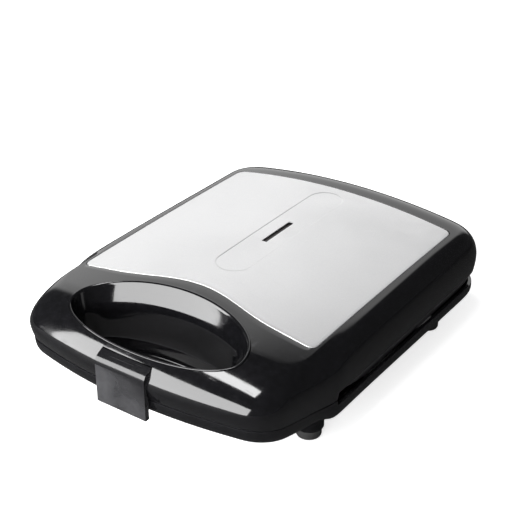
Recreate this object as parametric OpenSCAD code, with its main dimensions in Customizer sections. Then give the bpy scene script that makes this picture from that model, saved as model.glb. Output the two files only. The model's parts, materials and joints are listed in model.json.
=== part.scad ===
// Two-slice sandwich toaster with a hinged lid, a hand opening through its nose and a clip latch.
// Z = 0 is the worktop, X = 0 and Y = 0 the middle of its width and length; the nose points to -Y.

/* [Body] */
// Overall width of the two shells
body_w = 235; // [230:1:242]
// Distance from the middle of the feet to the front of the nose
nose_reach = 172.5; // [170:0.5:178]
// Distance from the middle of the feet to the back corners of the shells
back_reach = 131; // [129:1:140]
// Height of the widest line of the lid
wide_z = 57; // [55:1:60]
// Height of the middle of the steel panel, its highest place
crown_z = 90.3; // [88:0.1:94]
// Drop of the top from the middle to a point 100 mm beside it
crown_drop = 9.5; // [7:0.5:11]
// Drop of the top from its highest place to a point 200 mm in front of it
front_drop = 3.6; // [2.8:0.1:5]
// Wall of the plastic shells
wall = 2.6; // [2.2:0.1:3]
// Radius of the two corners of the nose
nose_corner_r = 28; // [22:1:34]
// Radius of the two back corners
back_corner_r = 28; // [22:1:34]

/* [Parting] */
// Height of the plane where the two cooking plates meet
meet_z = 38.3; // [37.8:0.1:39]
// Gap between the two cooking plates, and between the two halves of the handle
close_gap = 0.3; // [0.2:0.05:0.4]
// Height at which the outer skin of the lid ends beside the cooking plates
skin_z = 46; // [45:0.5:48]
// Height of the rim of the base beside the cooking plates
rim_z = 35.5; // [34.8:0.1:36]
// Rise of the parting line along the nose, for each millimetre forward
nose_slope = 0.107; // [0.08:0.005:0.12]
// Thickness of the base half of the handle
grip_drop = 11.5; // [10:0.5:13]

/* [Hand opening] */
// Width of the opening at the top
hand_w = 147; // [140:1:150]
// Distance of its widest line behind the front of the nose
hand_in = 35; // [34:0.5:36]
// Thickness of the bar in front of the opening, at the top
hand_bar = 8.5; // [8:0.5:10]
// Distance from the front of the frames to the back of the opening
hand_behind = 11.5; // [10:0.5:13]
// How far its wall leans in from the top of the lid to the parting line, on each side
hand_lean = 5; // [3:0.5:6]
// Thickness of the liner of the opening
liner_t = 2; // [1.6:0.1:2.4]
// Height by which the edge of the liner stands above the lid
liner_proud = 0.8; // [0.4:0.1:1.2]

/* [Steel panel] */
// Distance of the steel panel from the side of the shells
panel_in = 17; // [15:0.5:19.5]
// Thickness of the steel sheet
panel_t = 0.8; // [0.6:0.1:1]
// Gap around the steel panel
panel_gap = 0.4; // [0.3:0.1:0.6]
// Distance from the middle of the feet to its straight front edge
panel_front = 98; // [97:0.5:101]
// Distance of its back edge from the back corners of the shells
panel_rear = 32.5; // [30:0.5:34]
// Depth of the wave in its front edge, over the hand opening
panel_wave = 13; // [11:0.5:14]
// Width of that wave
panel_wave_w = 140; // [120:5:150]
// Radius of its corners
panel_r = 6; // [4:0.5:9]

/* [Indicator] */
// Length of the indicator window
window_l = 37; // [30:1:42]
// Width of the indicator window
window_w = 4.4; // [3.6:0.2:6]
// Distance of its middle behind the middle of the feet
window_y = 8.5; // [4:0.5:14]
// Radius of the indicator lamps
lamp_r = 2.4; // [2:0.1:2.6]
// Length of the indicator lamps
lamp_l = 11; // [9:0.5:13]

/* [Cooking plates] */
// Distance of the cooking plates from the side of the shells
plate_in = 11.5; // [11:0.5:13.5]
// Depth of the cooking plates over their rims
plate_d = 160; // [154:1:164]
// Distance of their middle behind the middle of the feet
plate_y = 18; // [16:0.5:20]
// Width of the rim that rests on the frame
plate_rim = 6; // [5:0.5:7]
// Thickness of that rim
plate_rim_t = 2.2; // [1.8:0.1:2.6]
// Thickness of the casting from the meeting plane to its back
plate_h = 14; // [13:0.5:15]
// Depth of the sandwich pockets
pocket_depth = 10.5; // [9:0.5:11]
// Slope of the pocket walls, as the inset of the floor
pocket_inset = 7; // [5:0.5:9]
// Width of the sealing ridges between the pockets
ridge_w = 7; // [6:0.5:9]
// Width of the sealing edge round the pockets
edge_w = 7; // [6:0.5:9]
// Depth by which the sealing ridges stand back from the meeting plane
ridge_back = 0.4; // [0.2:0.1:0.8]

/* [Heating] */
// Radius of the tubular heating elements
heater_r = 3.2; // [2.8:0.1:3.5]
// Half distance between the long sides of an element
heater_x = 66; // [56:1:72]
// Half distance between its front and back runs
heater_y = 44; // [36:1:50]
// Bend radius of the elements
heater_bend = 18; // [14:1:24]
// Thickness of the reflector trays
tray_t = 0.8; // [0.6:0.1:1]
// Distance of the tray floor from the back of the cooking plate
tray_depth = 8; // [7.4:0.1:9]

/* [Frames] */
// Inset of the frames from the widest outline of the shells
frame_inset = 5; // [4.6:0.2:6]
// Thickness of the decks round the cooking plates
deck_t = 2.8; // [2.4:0.1:3.2]
// Distance from the middle of the feet to the front of the frames
frame_front = 86; // [85:0.5:87]
// Clearance round the casting in its frame
deck_gap = 0.6; // [0.4:0.1:1]

/* [Hinge] */
// Distance of the hinge axis behind the back corners of the shells
hinge_back = 7.5; // [7:0.5:9]
// Distance of each hinge from the side of the shells
hinge_in = 47.5; // [41.5:0.5:57.5]
// Radius of the hinge pins
pin_r = 2.5; // [2:0.1:3]
// Running clearance of the pins in the lid, on the radius
pin_fit = 0.05; // [0.03:0.01:0.08]
// Radius of the hinge barrels
barrel_r = 6; // [5:0.25:6.25]
// Width of the lid's barrel
barrel_w = 10; // [8:0.5:12]
// Width of each ear of the base brackets
ear_w = 5; // [4:0.5:6]
// Side clearance between barrel and ears
ear_gap = 0.3; // [0.2:0.05:0.5]

/* [Latch] */
// Width of the latch
latch_w = 42; // [36:1:46]
// Reach of its top above its pivot
latch_r = 8.3; // [8.1:0.1:8.4]
// Distance of its pivot behind the front of the nose
latch_in = 6.9; // [6.7:0.1:7]
// Distance of its face in front of the nose
latch_proud = 1.4; // [1.2:0.1:2]
// Height of its pivot
latch_z = 62; // [61.6:0.1:62.2]
// Thickness of the latch plate
latch_t = 2; // [1.6:0.1:2.4]
// Thickness of the hook under the handle
hook_t = 2; // [1.8:0.1:3]
// Radius of its two pivot stubs
stub_r = 1.4; // [1.2:0.1:1.5]
// Length of each pivot stub
stub_l = 4; // [3:0.5:5]

/* [Feet and cord] */
// Distance of each foot from the side of the shells
foot_in = 26.5; // [24.5:0.5:37.5]
// Distance of the feet before and behind the origin
foot_y = 86; // [80:1:88]
// Radius of the feet
foot_r = 9; // [8:0.5:10]
// Height of the feet
foot_h = 8; // [7:0.5:8.5]
// Radius of the cord passage
cord_r = 3.6; // [3:0.1:4.2]
// Distance of the cord inlet from the middle
cord_x = 30; // [0:1:36]

/* [Screws] */
// Radius of the screw shafts
screw_r = 1.6; // [1.4:0.1:1.8]
// Radius of the screw heads
screw_head_r = 3.2; // [2.8:0.1:3.5]
// Height of the screw heads
screw_head_h = 2; // [1.6:0.1:2.4]
// Clearance of the screws in their holes
screw_gap = 0.1; // [0.05:0.05:0.2]

/* [Hidden] */
$fn = 48;

half_w = body_w / 2;
seat_gap = 0.1;          // gap between two pieces that are seated on each other
panel_seat = 0.3;        // gap under the steel panel
crown_y = 97;            // where the middle line of the lid is highest
inside_top = 4;          // distance from the top of the lid to its inner face
nose_start = -89;        // where the sides turn into the nose
far = 300;               // length of cutters that run out of the part
panel_w = body_w - 2 * panel_in;
panel_side = panel_w / 2;
panel_back = back_reach - panel_rear;
plate_w = body_w - 2 * plate_in;
foot_x = half_w - foot_in;
hinge_x = half_w - hinge_in;
hand_y = nose_reach - hand_in;
hand_front = hand_in - hand_bar;
hand_back = hand_y - frame_front - hand_behind;
hinge_y = back_reach + hinge_back;
hinge_z = meet_z - 0.8;
lower_back = meet_z - close_gap / 2 - plate_h;   // back of the lower casting

// The sizes are measured from the middle of the feet; this puts the middle of the length at Y = 0.
length_front = nose_reach + latch_proud;
length_back = hinge_y + barrel_r;
module placed() translate([0, (length_front - length_back) / 2, 0]) children();
plate_front = plate_y - plate_d / 2;
plate_rear = plate_y + plate_d / 2;
cast_x = plate_w / 2 - plate_rim;            // sides of the casting inside the rim
cast_front = plate_front + plate_rim;
cast_back = plate_rear - plate_rim;

// ---------- outlines ----------
function unit(v) = v / norm(v);
function mix(a, b, t) = a + (b - a) * t;
function limit(v, low, high) = min(max(v, low), high);
function ease(t) = t * t * (3 - 2 * t);

// an arc of radius r that rounds the corner b of the line a-b-c
function corner(a, b, c, r, n) =
    let (u = unit(a - b), v = unit(c - b), half = acos(u * v) / 2)
    let (o = b + unit(u + v) * r / sin(half))
    let (s = b + u * r / tan(half) - o, e = b + v * r / tan(half) - o)
    let (a0 = atan2(s[1], s[0]), d = atan2(e[1], e[0]) - a0)
    let (turn = d > 180 ? d - 360 : d < -180 ? d + 360 : d)
    [for (i = [0:n]) o + r * [cos(a0 + turn * i / n), sin(a0 + turn * i / n)]];

function between(a, b, n) = [for (i = [1:n]) mix(a, b, i / (n + 1))];
function last(v) = v[len(v) - 1];

// the other half of an outline that runs from the front middle to the back middle
function both_sides(h) = concat(h, [for (i = [len(h) - 2:-1:1]) [-h[i][0], h[i][1]]]);

nose_corner = [half_w - 12.5, 12 - nose_reach];
shoulder = [half_w, -88];
back_corner = [half_w, back_reach];
back_middle = [0, back_reach + 4];

nose_arc = corner([0, -nose_reach], nose_corner, shoulder, nose_corner_r, 8);
shoulder_arc = corner(nose_corner, shoulder, back_corner, 80, 6);
back_arc = corner(shoulder, back_corner, back_middle, back_corner_r, 8);

// widest outline of the shells
outline = both_sides(concat(
    [for (i = [0:7]) [nose_arc[0][0] * i / 8, mix(-nose_reach, nose_arc[0][1], pow(i / 8, 2))]],
    nose_arc,
    between(last(nose_arc), shoulder_arc[0], 2),
    shoulder_arc,
    between(last(shoulder_arc), back_arc[0], 6),
    back_arc,
    [for (i = [1:6]) [last(back_arc)[0] * (1 - i / 6), last(back_arc)[1] + 2 * (1 - pow(1 - i / 6, 2))]]));
points_round = len(outline);

function wave(x) = abs(x) < panel_wave_w / 2 ? panel_wave * pow(cos(180 * x / panel_wave_w), 2) : 0;
panel_arc = corner([0, -panel_front], [panel_side, -panel_front], [panel_side, 0], panel_r, 8);
panel_back_arc = corner([panel_side, 0], [panel_side, panel_back], [0, panel_back], panel_r, 8);
panel_mid = [for (i = [0:6]) [panel_side, -70 + 5 * i]];

// edge of the steel panel, point for point beside the outline
panel_edge = both_sides(concat(
    [for (i = [0:7]) [panel_arc[0][0] * i / 8, -panel_front + wave(panel_arc[0][0] * i / 8)]],
    panel_arc,
    between(last(panel_arc), panel_mid[0], 2),
    panel_mid,
    between(last(panel_mid), panel_back_arc[0], 6),
    panel_back_arc,
    [for (i = [1:6]) [last(panel_back_arc)[0] * (1 - i / 6), panel_back]]));

// the place inside the outline that a wall point leans towards
core_x = 70;
core_front = -58;
core_back = back_reach - 41;
core = [for (p = outline) [limit(p[0], -core_x, core_x), limit(p[1], core_front, core_back)]];
core_far = [for (i = [0:points_round - 1]) norm(core[i] - outline[i])];
noseness = [for (p = outline) ease(limit((-86 - p[1]) / 26, 0, 1))];

function top_z(p) = crown_z - crown_drop * pow(p[0] / 100, 2) - front_drop * pow((crown_y - p[1]) / 200, 2);
function parting_z(y) = meet_z + nose_slope * max(0, nose_start - y);
function inward(i, d) = outline[i] + (core[i] - outline[i]) * min(d / core_far[i], 1);

// a closed solid through rings of points, with a middle point before the first and after the last
module loft(rings, first, end) {
    n = len(rings[0]);
    m = len(rings);
    polyhedron(
        points = concat([first], [for (r = rings) for (p = r) p], [end]),
        faces = concat(
            [for (i = [0:n - 1]) [0, 1 + i, 1 + (i + 1) % n]],
            [for (j = [0:m - 2]) for (i = [0:n - 1])
                [1 + j * n + i, 1 + (j + 1) * n + (i + 1) % n, 1 + j * n + (i + 1) % n]],
            [for (j = [0:m - 2]) for (i = [0:n - 1])
                [1 + j * n + i, 1 + (j + 1) * n + i, 1 + (j + 1) * n + (i + 1) % n]],
            [for (i = [0:n - 1]) [1 + m * n, 1 + (m - 1) * n + (i + 1) % n, 1 + (m - 1) * n + i]]));
}

// ---------- lid surface ----------
nose_roll = 40;          // width of the rolled edge round the nose
edge_far = [for (i = [0:points_round - 1]) norm(panel_edge[i] - outline[i])];
side_share = 0.85;       // share of the way to the steel panel that is rolled, at the sides
nose_share = 0.9;        // the same share in the nose, at most
roll = [for (i = [0:points_round - 1])
    mix(side_share * edge_far[i], min(nose_roll, nose_share * edge_far[i]), noseness[i])];
roundness = [for (f = noseness) mix(2.3, 1.8, f)];

// point of the rolled edge: w = 1 at the widest line and 0 where the top is reached, t inside the skin
function rolled(i, w, t) =
    let (d = roll[i] * (1 - w), p = mix(inward(i, t), panel_edge[i], d / edge_far[i]))
    let (h = pow(1 - pow(w, roundness[i]), 1 / roundness[i]))
    [p[0], p[1], mix(wide_z, top_z(p) - t, h)];

// point between the rolled edge and the steel panel
function shelf(i, s, t) =
    let (k = mix(roll[i] / edge_far[i], 1, s), p = mix(inward(i, t), panel_edge[i], k))
    [p[0], p[1], top_z(p) - t];

// point under the steel panel
panel_middle = [0, 0];
function under_panel(i, s, t) =
    let (p = mix(panel_edge[i], panel_middle, s)) [p[0], p[1], top_z(p) - t];

// point of the lid below its widest line
function lid_low(i, f, inset, t) =
    let (p = inward(i, inset + t)) [p[0], p[1], mix(wide_z, parting_z(p[1]) + close_gap / 2, f)];

all_round = [0:points_round - 1];
low_steps = [[1, 3], [0.65, 1.6], [0.35, 0.5], [0, 0]];
roll_steps = [0.97, 0.9, 0.8, 0.66, 0.5, 0.32, 0.15, 0];
panel_steps = [0, 0.25, 0.5, 0.75];

module lid_outside() {
    loft(concat(
        [for (s = low_steps) [for (i = all_round) lid_low(i, s[0], s[1], 0)]],
        [for (w = roll_steps) [for (i = all_round) rolled(i, w, 0)]],
        [for (s = [0.5, 1]) [for (i = all_round) shelf(i, s, 0)]],
        [for (s = panel_steps) if (s > 0) [for (i = all_round) under_panel(i, s, 0)]]),
        [0, 0, meet_z], [0, 0, top_z(panel_middle)]);
}

module lid_skin() {
    sheet = panel_t + panel_seat;
    loft(concat(
        [for (s = panel_steps) if (s > 0) [for (i = all_round) under_panel(i, 1 - s, inside_top)]],
        [for (s = [1, 0.5]) [for (i = all_round) shelf(i, s, wall + (inside_top - wall) * s)]],
        [for (w = [0, 0.2, 0.5, 0.8]) [for (i = all_round) rolled(i, w, wall)]],
        [for (s = [[0, 0], [1, 3]]) [for (i = all_round) lid_low(i, s[0], s[1], wall)]],
        [for (s = low_steps) [for (i = all_round) lid_low(i, s[0], s[1], 0)]],
        [for (w = roll_steps) [for (i = all_round) rolled(i, w, 0)]],
        [for (s = [0.5, 1]) [for (i = all_round) shelf(i, s, 0)]],
        [for (s = panel_steps) [for (i = all_round) under_panel(i, s, sheet)]]),
        [0, 0, top_z(panel_middle) - inside_top], [0, 0, top_z(panel_middle) - sheet]);
}

// ---------- hand opening ----------
hand_top = [hand_w / 2, hand_back, hand_front];
hand_low = [for (reach = hand_top) reach - hand_lean];
hand_top_z = 80;
hand_steps = 60;

// D-shaped ring round the opening from its reaches to the side, back and front, grown by g
function hand_ring(reach, g, z) = [for (i = [0:hand_steps - 1]) let (a = 360 * i / hand_steps)
    [(reach[0] + g) * cos(a), (reach[a > 180 ? 2 : 1] + g) * sin(a) - hand_y, z]];
module hand_core(g, low, high, reach_low, reach_high) {
    rings = [hand_ring(reach_low, g, low), hand_ring(reach_high, g, high)];
    loft(rings, [0, -hand_y, low], [0, -hand_y, high]);
}
module hand_in_lid(g) {
    rise = (hand_top_z - meet_z) / hand_lean;
    more = 8;            // how far the cutter runs on beyond both ends
    hand_core(g, meet_z - more, hand_top_z + more,
        [for (reach = hand_low) reach - more / rise], [for (reach = hand_top) reach + more / rise]);
}
hand_base_low = 20;      // ends of the cutter for the base, below and above the meeting plane
hand_base_high = 14;
module hand_in_base(g) {
    hand_core(g, meet_z - hand_base_low, meet_z + hand_base_high,
        hand_low - [7, 8, 8], hand_low + [2, 2, 2]);
}

// slice of the nose above or below its sloping parting line
module nose_above(gap) {
    tilt = atan(nose_slope);
    translate([-half_w, nose_start, meet_z + gap]) rotate([-tilt, 0, 0])
        translate([0, -120, 0]) cube([body_w, 120, 60]);
}

module latch_space() {
    translate([-latch_w / 2 - close_gap, latch_y, latch_z]) rotate([0, 90, 0])
        cylinder(r = latch_r + close_gap, h = latch_w + 2 * close_gap);
    translate([-latch_w / 2 - close_gap, -nose_reach - 10, meet_z - 10])
        cube([latch_w + 2 * close_gap, 10 + latch_t - latch_proud + 0.5, latch_z - meet_z + 10]);
}

// the two cheeks beside the latch, which hold its bushes
module latch_cheeks() intersection() {
    lid_outside();
    for (s = [-1, 1]) translate([s * cheek_x - cheek_w / 2, latch_y - 6, latch_z - 5])
        cube([cheek_w, 10, 12]);
}

front_screw_y = cast_front - 11;
back_screw_y = back_reach - 19;
back_screw_x = half_w - 37.5;
screw_places = [[-60, front_screw_y], [60, front_screw_y],
    [-back_screw_x, back_screw_y], [back_screw_x, back_screw_y]];
lid_post_z = 66;         // underside of the screw posts of the lid
post_r = 4.5;            // radius of the posts that the screws hold together
window_slot_gap = 0.3;
window_cut_z = 70;       // lower end and height of the cutters for the window
window_cut_h = 30;
latch_y = -nose_reach + latch_in;
bush_r = 2.6;
bush_w = 4;
cheek_w = 5;
cheek_x = latch_w / 2 + close_gap + cheek_w / 2;
bush_x = latch_w / 2 + close_gap + bush_w / 2;

module lid_shell() color([0.03, 0.03, 0.035]) placed() {
    resize([body_w, 0, 0]) difference() {
        union() {
            lid_skin();
            intersection() {
                lid_outside();
                for (p = screw_places) translate([p[0], p[1], lid_post_z])
                    cylinder(r = post_r, h = top_z(p) - inside_top + 1.5 - lid_post_z, $fn = 24);
            }
            latch_cheeks();
        }
        hand_in_lid(close_gap);
        translate([-half_w - 1, nose_start, meet_z - 5]) cube([body_w + 2, far, skin_z - meet_z + 5]);
        latch_space();
        for (s = [-1, 1]) translate([s * bush_x - bush_w / 2 - seat_gap, latch_y, latch_z])
            rotate([0, 90, 0]) cylinder(r = bush_r + seat_gap, h = bush_w + 2 * seat_gap, $fn = 32);
        translate([-window_w / 2 - window_slot_gap, window_y - window_l / 2 - window_slot_gap, window_cut_z])
            cube([window_w + 2 * window_slot_gap, window_l + 2 * window_slot_gap, window_cut_h]);
        for (p = screw_places) translate([p[0], p[1], lid_post_z - 1])
            cylinder(r = screw_r + screw_gap, h = 9, $fn = 24);
    }
}

module grip_liner() color([0.05, 0.05, 0.055]) placed() {
    resize([0, 0, 0]) intersection() {
        difference() {
            hand_in_lid(0);
            hand_in_lid(-liner_t);
        }
        translate([0, 0, liner_proud]) lid_outside();
        nose_above(close_gap / 2);
    }
}

// point of the steel sheet: s runs from its edge to its middle, t is the depth in the sheet
panel_share = (panel_side - panel_gap) / panel_side;
function spot(i, s, t) =
    let (p = mix(panel_edge[i] * panel_share, panel_middle, s)) [p[0], p[1], top_z(p) - t];

module top_panel() color([0.82, 0.82, 0.82]) placed() {
    resize([panel_w - 2 * panel_gap, 0, 0]) difference() {
        loft(concat(
            [for (k = [3:-1:0]) [for (i = all_round) spot(i, panel_steps[k], panel_t)]],
            [for (s = panel_steps) [for (i = all_round) spot(i, s, 0)]]),
            [0, 0, top_z(panel_middle) - panel_t], [0, 0, top_z(panel_middle)]);
        translate([-window_w / 2, window_y - window_l / 2, window_cut_z])
            cube([window_w, window_l, window_cut_h]);
    }
}

// ---------- base surface ----------
// height and inset of the rows of the tub, and drop below the parting line and inset in the nose
base_inset = 1.4;        // inset of the widest line of the base
tub_rows = [[meet_z, 2.5], [33, base_inset], [28, 2], [23, 6], [18, 11], [14, 16.5], [11, 23],
    [9, 30], [9, 33], [9, 36]];
nose_rows = [[0, 2.5], [grip_drop - 7, 2.7], [grip_drop - 3.5, 3.8], [grip_drop - 1.2, 6], [grip_drop, 9.5],
    [grip_drop, 40], [grip_drop, 78], [grip_drop, 84], [21, 87], [31, 92]];
handle_rows = 4;         // rows at the rim of the nose, which keep their inset all round it
nose_depth = nose_reach + core_front;

function nose_inset(i, k) = nose_rows[k][1] * (k > handle_rows ? core_far[i] / nose_depth : 1);
function base_point(i, k, t) =
    let (f = noseness[i], d = mix(tub_rows[k][1], nose_inset(i, k), f) + t, p = inward(i, d))
    let (zt = tub_rows[k][0], zn = max(9, parting_z(p[1]) - nose_rows[k][0]))
    [p[0], p[1], mix(zt, zn, f) - close_gap / 2 + (k == 0 ? 0 : t * min(k / 5, 1))];

base_last = len(tub_rows) - 1;
floor_z = 9 - close_gap / 2;

module base_outside() {
    loft([for (k = [base_last:-1:0]) [for (i = all_round) base_point(i, k, 0)]],
        [0, 10, floor_z], [0, 10, meet_z]);
}

module base_skin() {
    loft(concat(
        [for (k = [base_last:-1:0]) [for (i = all_round) base_point(i, k, 0)]],
        [for (k = [0:base_last]) [for (i = all_round) base_point(i, k, wall)]]),
        [0, 10, floor_z], [0, 10, floor_z + wall]);
}

boss_top = 21;           // top of the screw bosses
boss_wide = 5.5;         // radius of the screw bosses
screw_seat = 12;         // depth of the wide part of the screw holes, from Z = 0
foot_tops = [[-foot_y, 30], [foot_y, 15.5]];   // place and top of the bosses over the feet
foot_rim = 1.5;          // wall of those bosses
pad_deep = 7;            // depth of the pads behind the hinge brackets
bracket_pad_w = 31;
bracket_face = back_reach + 0.5;
bracket_low = 21;
bracket_screw_x = 13;
bracket_screw_z = bracket_low + 4;
inlet_z = 21;
inlet_face = back_reach - 1;
inlet_start = inlet_face - 18;   // inner end of the cord inlet
inlet_flange_r = 8.5;
inlet_neck_r = 6.4;
inlet_rim = 1.5;         // wall of its boss round the flange

module base_shell() color([0.03, 0.03, 0.035]) placed() {
    resize([0, 0, 0]) difference() {
        union() {
            difference() {
                base_skin();
                hand_in_base(0);
            }
            intersection() {
                base_outside();
                difference() {
                    hand_in_base(wall);
                    hand_in_base(0);
                }
            }
            for (p = screw_places) translate([p[0], p[1], floor_z])
                cylinder(r = boss_wide, h = boss_top - floor_z, $fn = 32);
            for (x = [-foot_x, foot_x], boss = foot_tops) translate([x, boss[0], foot_h])
                cylinder(r = foot_r + foot_rim, h = boss[1] - foot_h, $fn = 32);
            for (x = [-hinge_x, hinge_x])
                translate([x - bracket_pad_w / 2, back_reach - pad_deep, bracket_low])
                    cube([bracket_pad_w, pad_deep + bracket_face - back_reach, rim_z - bracket_low]);
            translate([cord_x, inlet_start + 2, inlet_z]) rotate([-90, 0, 0])
                cylinder(r = inlet_flange_r + inlet_rim, h = inlet_face - inlet_start - 2, $fn = 32);
        }
        translate([-half_w - 1, nose_start, rim_z]) cube([body_w + 2, far, 20]);
        for (p = screw_places) translate([p[0], p[1], 0]) {
            cylinder(r = screw_r + screw_gap, h = 40, $fn = 24);
            cylinder(r = screw_head_r + 0.4, h = screw_seat, $fn = 24);
        }
        latch_space();
        for (x = [-hinge_x, hinge_x]) translate([x - bracket_pad_w / 2, bracket_face, bracket_low])
            cube([bracket_pad_w, 10, rim_z]);
        translate([cord_x, inlet_face, inlet_z]) rotate([-90, 0, 0])
            cylinder(r = inlet_flange_r + inlet_rim, h = 10, $fn = 32);
        for (x = [-hinge_x, hinge_x], s = [-bracket_screw_x, bracket_screw_x])
            translate([x + s, back_reach - pad_deep + 1, bracket_screw_z]) rotate([-90, 0, 0])
                cylinder(r = screw_r + screw_gap, h = 10, $fn = 24);
        translate([cord_x, inlet_start - 12, inlet_z]) rotate([-90, 0, 0])
            cylinder(r = inlet_neck_r + seat_gap, h = 40, $fn = 32);
    }
}

// ---------- frames round the cooking plates ----------
// a rectangle with rounded corners, from its four sides
module round_rect(x, front, back, r) {
    polygon(concat(
        [for (a = [0:15:90]) [x - r + r * sin(a), front + r - r * cos(a)]],
        [for (a = [0:15:90]) [x - r + r * cos(a), back - r + r * sin(a)]],
        [for (a = [0:15:90]) [-x + r - r * sin(a), back - r + r * cos(a)]],
        [for (a = [0:15:90]) [-x + r - r * cos(a), front + r - r * sin(a)]]));
}

frame_x = half_w - frame_inset;
frame_back = back_reach - frame_inset;
frame_corner_r = 24;
cast_r = 8;
deck_top = meet_z - close_gap / 2 - plate_rim_t - seat_gap;   // top of the lower deck

module deck(low, front) {
    translate([0, 0, low]) linear_extrude(height = deck_t) difference() {
        round_rect(frame_x - wall, -front, frame_back - wall, frame_corner_r);
        round_rect(cast_x + deck_gap, cast_front - deck_gap, cast_back + deck_gap, cast_r);
    }
}

module base_frame() color([0.06, 0.06, 0.06]) placed() difference() {
    union() {
        deck(deck_top - deck_t, post_r + 1 - front_screw_y);
        for (p = screw_places) translate([p[0], p[1], boss_top + seat_gap])
            cylinder(r = post_r, h = deck_top - deck_t - boss_top);
    }
    for (p = screw_places) translate([p[0], p[1], boss_top - 1])
        cylinder(r = screw_r + screw_gap, h = 16);
}

upper_deck = 2 * meet_z - deck_top;     // face of the lid's deck
skirt_h = 12;            // height of the band round the lid's frame

module lid_frame() color([0.06, 0.06, 0.06]) placed() difference() {
    union() {
        deck(upper_deck, frame_front - wall);
        translate([0, 0, meet_z + close_gap / 2]) linear_extrude(height = skirt_h) difference() {
            round_rect(frame_x, -frame_front, frame_back, frame_corner_r);
            round_rect(frame_x - wall, -frame_front + wall, frame_back - wall, frame_corner_r);
        }
        for (p = screw_places) translate([p[0], p[1], upper_deck])
            cylinder(r = post_r, h = lid_post_z - seat_gap - upper_deck);
        for (x = [-hinge_x, hinge_x]) {
            translate([x - barrel_w / 2, hinge_y, hinge_z]) rotate([0, 90, 0])
                cylinder(r = barrel_r, h = barrel_w);
            translate([x - barrel_w / 2, frame_back - 1, hinge_z + 1])
                cube([barrel_w, hinge_y - frame_back + 1, barrel_r - 1]);
        }
    }
    for (p = screw_places) translate([p[0], p[1], upper_deck - 1]) {
        cylinder(r = screw_r + screw_gap, h = 40);
        cylinder(r = screw_head_r + 0.3, h = 1 + screw_head_h);
    }
    translate([-half_w, hinge_y, hinge_z]) rotate([0, 90, 0]) cylinder(r = pin_r + pin_fit, h = body_w);
}

// ---------- cooking plates ----------
slot_w = (2 * cast_x - 2 * edge_w - ridge_w) / 2;
slot_d = cast_back - cast_front - 2 * edge_w;

// a three-cornered pocket that widens towards the meeting plane; side 1 or -1 picks the half of the slot
module pocket(cx, cy, side) {
    s = pocket_inset;
    r = 3;
    lean = ridge_w * 0.75;
    x0 = slot_w / 2 - r;
    y0 = slot_d / 2 - r;
    hull() for (k = [0, 1], q = [[x0, y0 - lean], [x0, -y0], [-x0 + lean, -y0]])
        translate([cx + side * (q[0] - k * s * (q[0] > 0 ? 1 : -2.2)),
            cy + side * (q[1] + k * s * (q[1] < 0 ? 1 : -2.2)), k == 0 ? meet_z : meet_z - pocket_depth])
            cylinder(r = r, h = 0.2, $fn = 20);
}

plate_screw_in = 16;     // distance of their screws from the front and back of the casting
plate_screw_y = [cast_front + plate_screw_in, cast_back - plate_screw_in];

// the lower cooking plate; the upper one is its mirror image in the meeting plane
module cooking_plate() difference() {
    union() {
        translate([0, 0, meet_z - close_gap / 2 - plate_rim_t]) linear_extrude(height = plate_rim_t)
            round_rect(plate_w / 2, plate_front, plate_rear, cast_r + plate_rim);
        translate([0, 0, lower_back]) linear_extrude(height = plate_h - 0.01)
            round_rect(cast_x, cast_front, cast_back, cast_r);
    }
    for (x = [-1, 1], side = [-1, 1])
        pocket(x * (slot_w + ridge_w) / 2, plate_y, side);
    translate([-cast_x + edge_w, cast_front + edge_w, meet_z - close_gap / 2 - ridge_back])
        cube([2 * (cast_x - edge_w), slot_d, 1]);
    for (y = plate_screw_y) translate([0, y, lower_back - 1]) cylinder(r = screw_r + screw_gap, h = 10);
}

// the tubular element: a ring of round-cornered tube that lies on the back of the casting
module heater() translate([0, plate_y, lower_back - seat_gap - heater_r]) {
    x = heater_x - heater_bend;
    y = heater_y - heater_bend;
    for (sx = [-1, 1], sy = [-1, 1]) translate([sx * x, sy * y, 0])
        rotate([0, 0, sx > 0 ? (sy > 0 ? 0 : 270) : (sy > 0 ? 90 : 180)])
            rotate_extrude(angle = 90) translate([heater_bend, 0]) circle(r = heater_r);
    for (sx = [-1, 1]) translate([sx * heater_x, -y, 0]) rotate([-90, 0, 0])
        cylinder(r = heater_r, h = 2 * y);
    translate([-x, -heater_y, 0]) rotate([0, 90, 0]) cylinder(r = heater_r, h = 2 * x);
    for (sx = [-1, 1]) translate([sx > 0 ? heater_end : -x, heater_y, 0]) rotate([0, 90, 0])
        cylinder(r = heater_r, h = x - heater_end);
    for (sx = [-1, 1]) translate([sx * heater_end - (sx > 0 ? heater_pin_l : 0), heater_y, 0])
        rotate([0, 90, 0]) cylinder(r = heater_pin_r, h = heater_pin_l);
}
heater_end = 16;         // half gap between the two cold ends
heater_pin_l = 9;        // length of the terminal pins
heater_pin_r = 1.2;

tray_x = cast_x - 12;
tray_front = cast_front + 8;
tray_back = cast_back - 8;
tray_r = 10;

module reflector() {
    low = lower_back - tray_depth;
    difference() {
        translate([0, 0, low]) linear_extrude(height = tray_depth - seat_gap)
            round_rect(tray_x, tray_front, tray_back, tray_r);
        translate([0, 0, low + tray_t]) linear_extrude(height = tray_depth)
            round_rect(tray_x - tray_t, tray_front + tray_t, tray_back - tray_t, tray_r - tray_t);
        for (y = plate_screw_y) translate([0, y, low - 1]) cylinder(r = screw_r + screw_gap, h = 4);
    }
}

module screw(x, y, z, length) translate([x, y, z]) {
    cylinder(r = screw_r, h = length);
    cylinder(r = screw_head_r, h = screw_head_h);
}

plate_screw_deep = 8;    // depth of the screws in the castings
base_screw_l = 16;
module plate_screws() {
    start = lower_back - tray_depth - seat_gap - screw_head_h;
    for (y = plate_screw_y) screw(0, y, start, lower_back + plate_screw_deep - start);
}

// turns a piece of the base into its mirror image in the meeting plane
module for_lid() translate([0, 0, 2 * meet_z]) mirror([0, 0, 1]) children();

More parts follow.
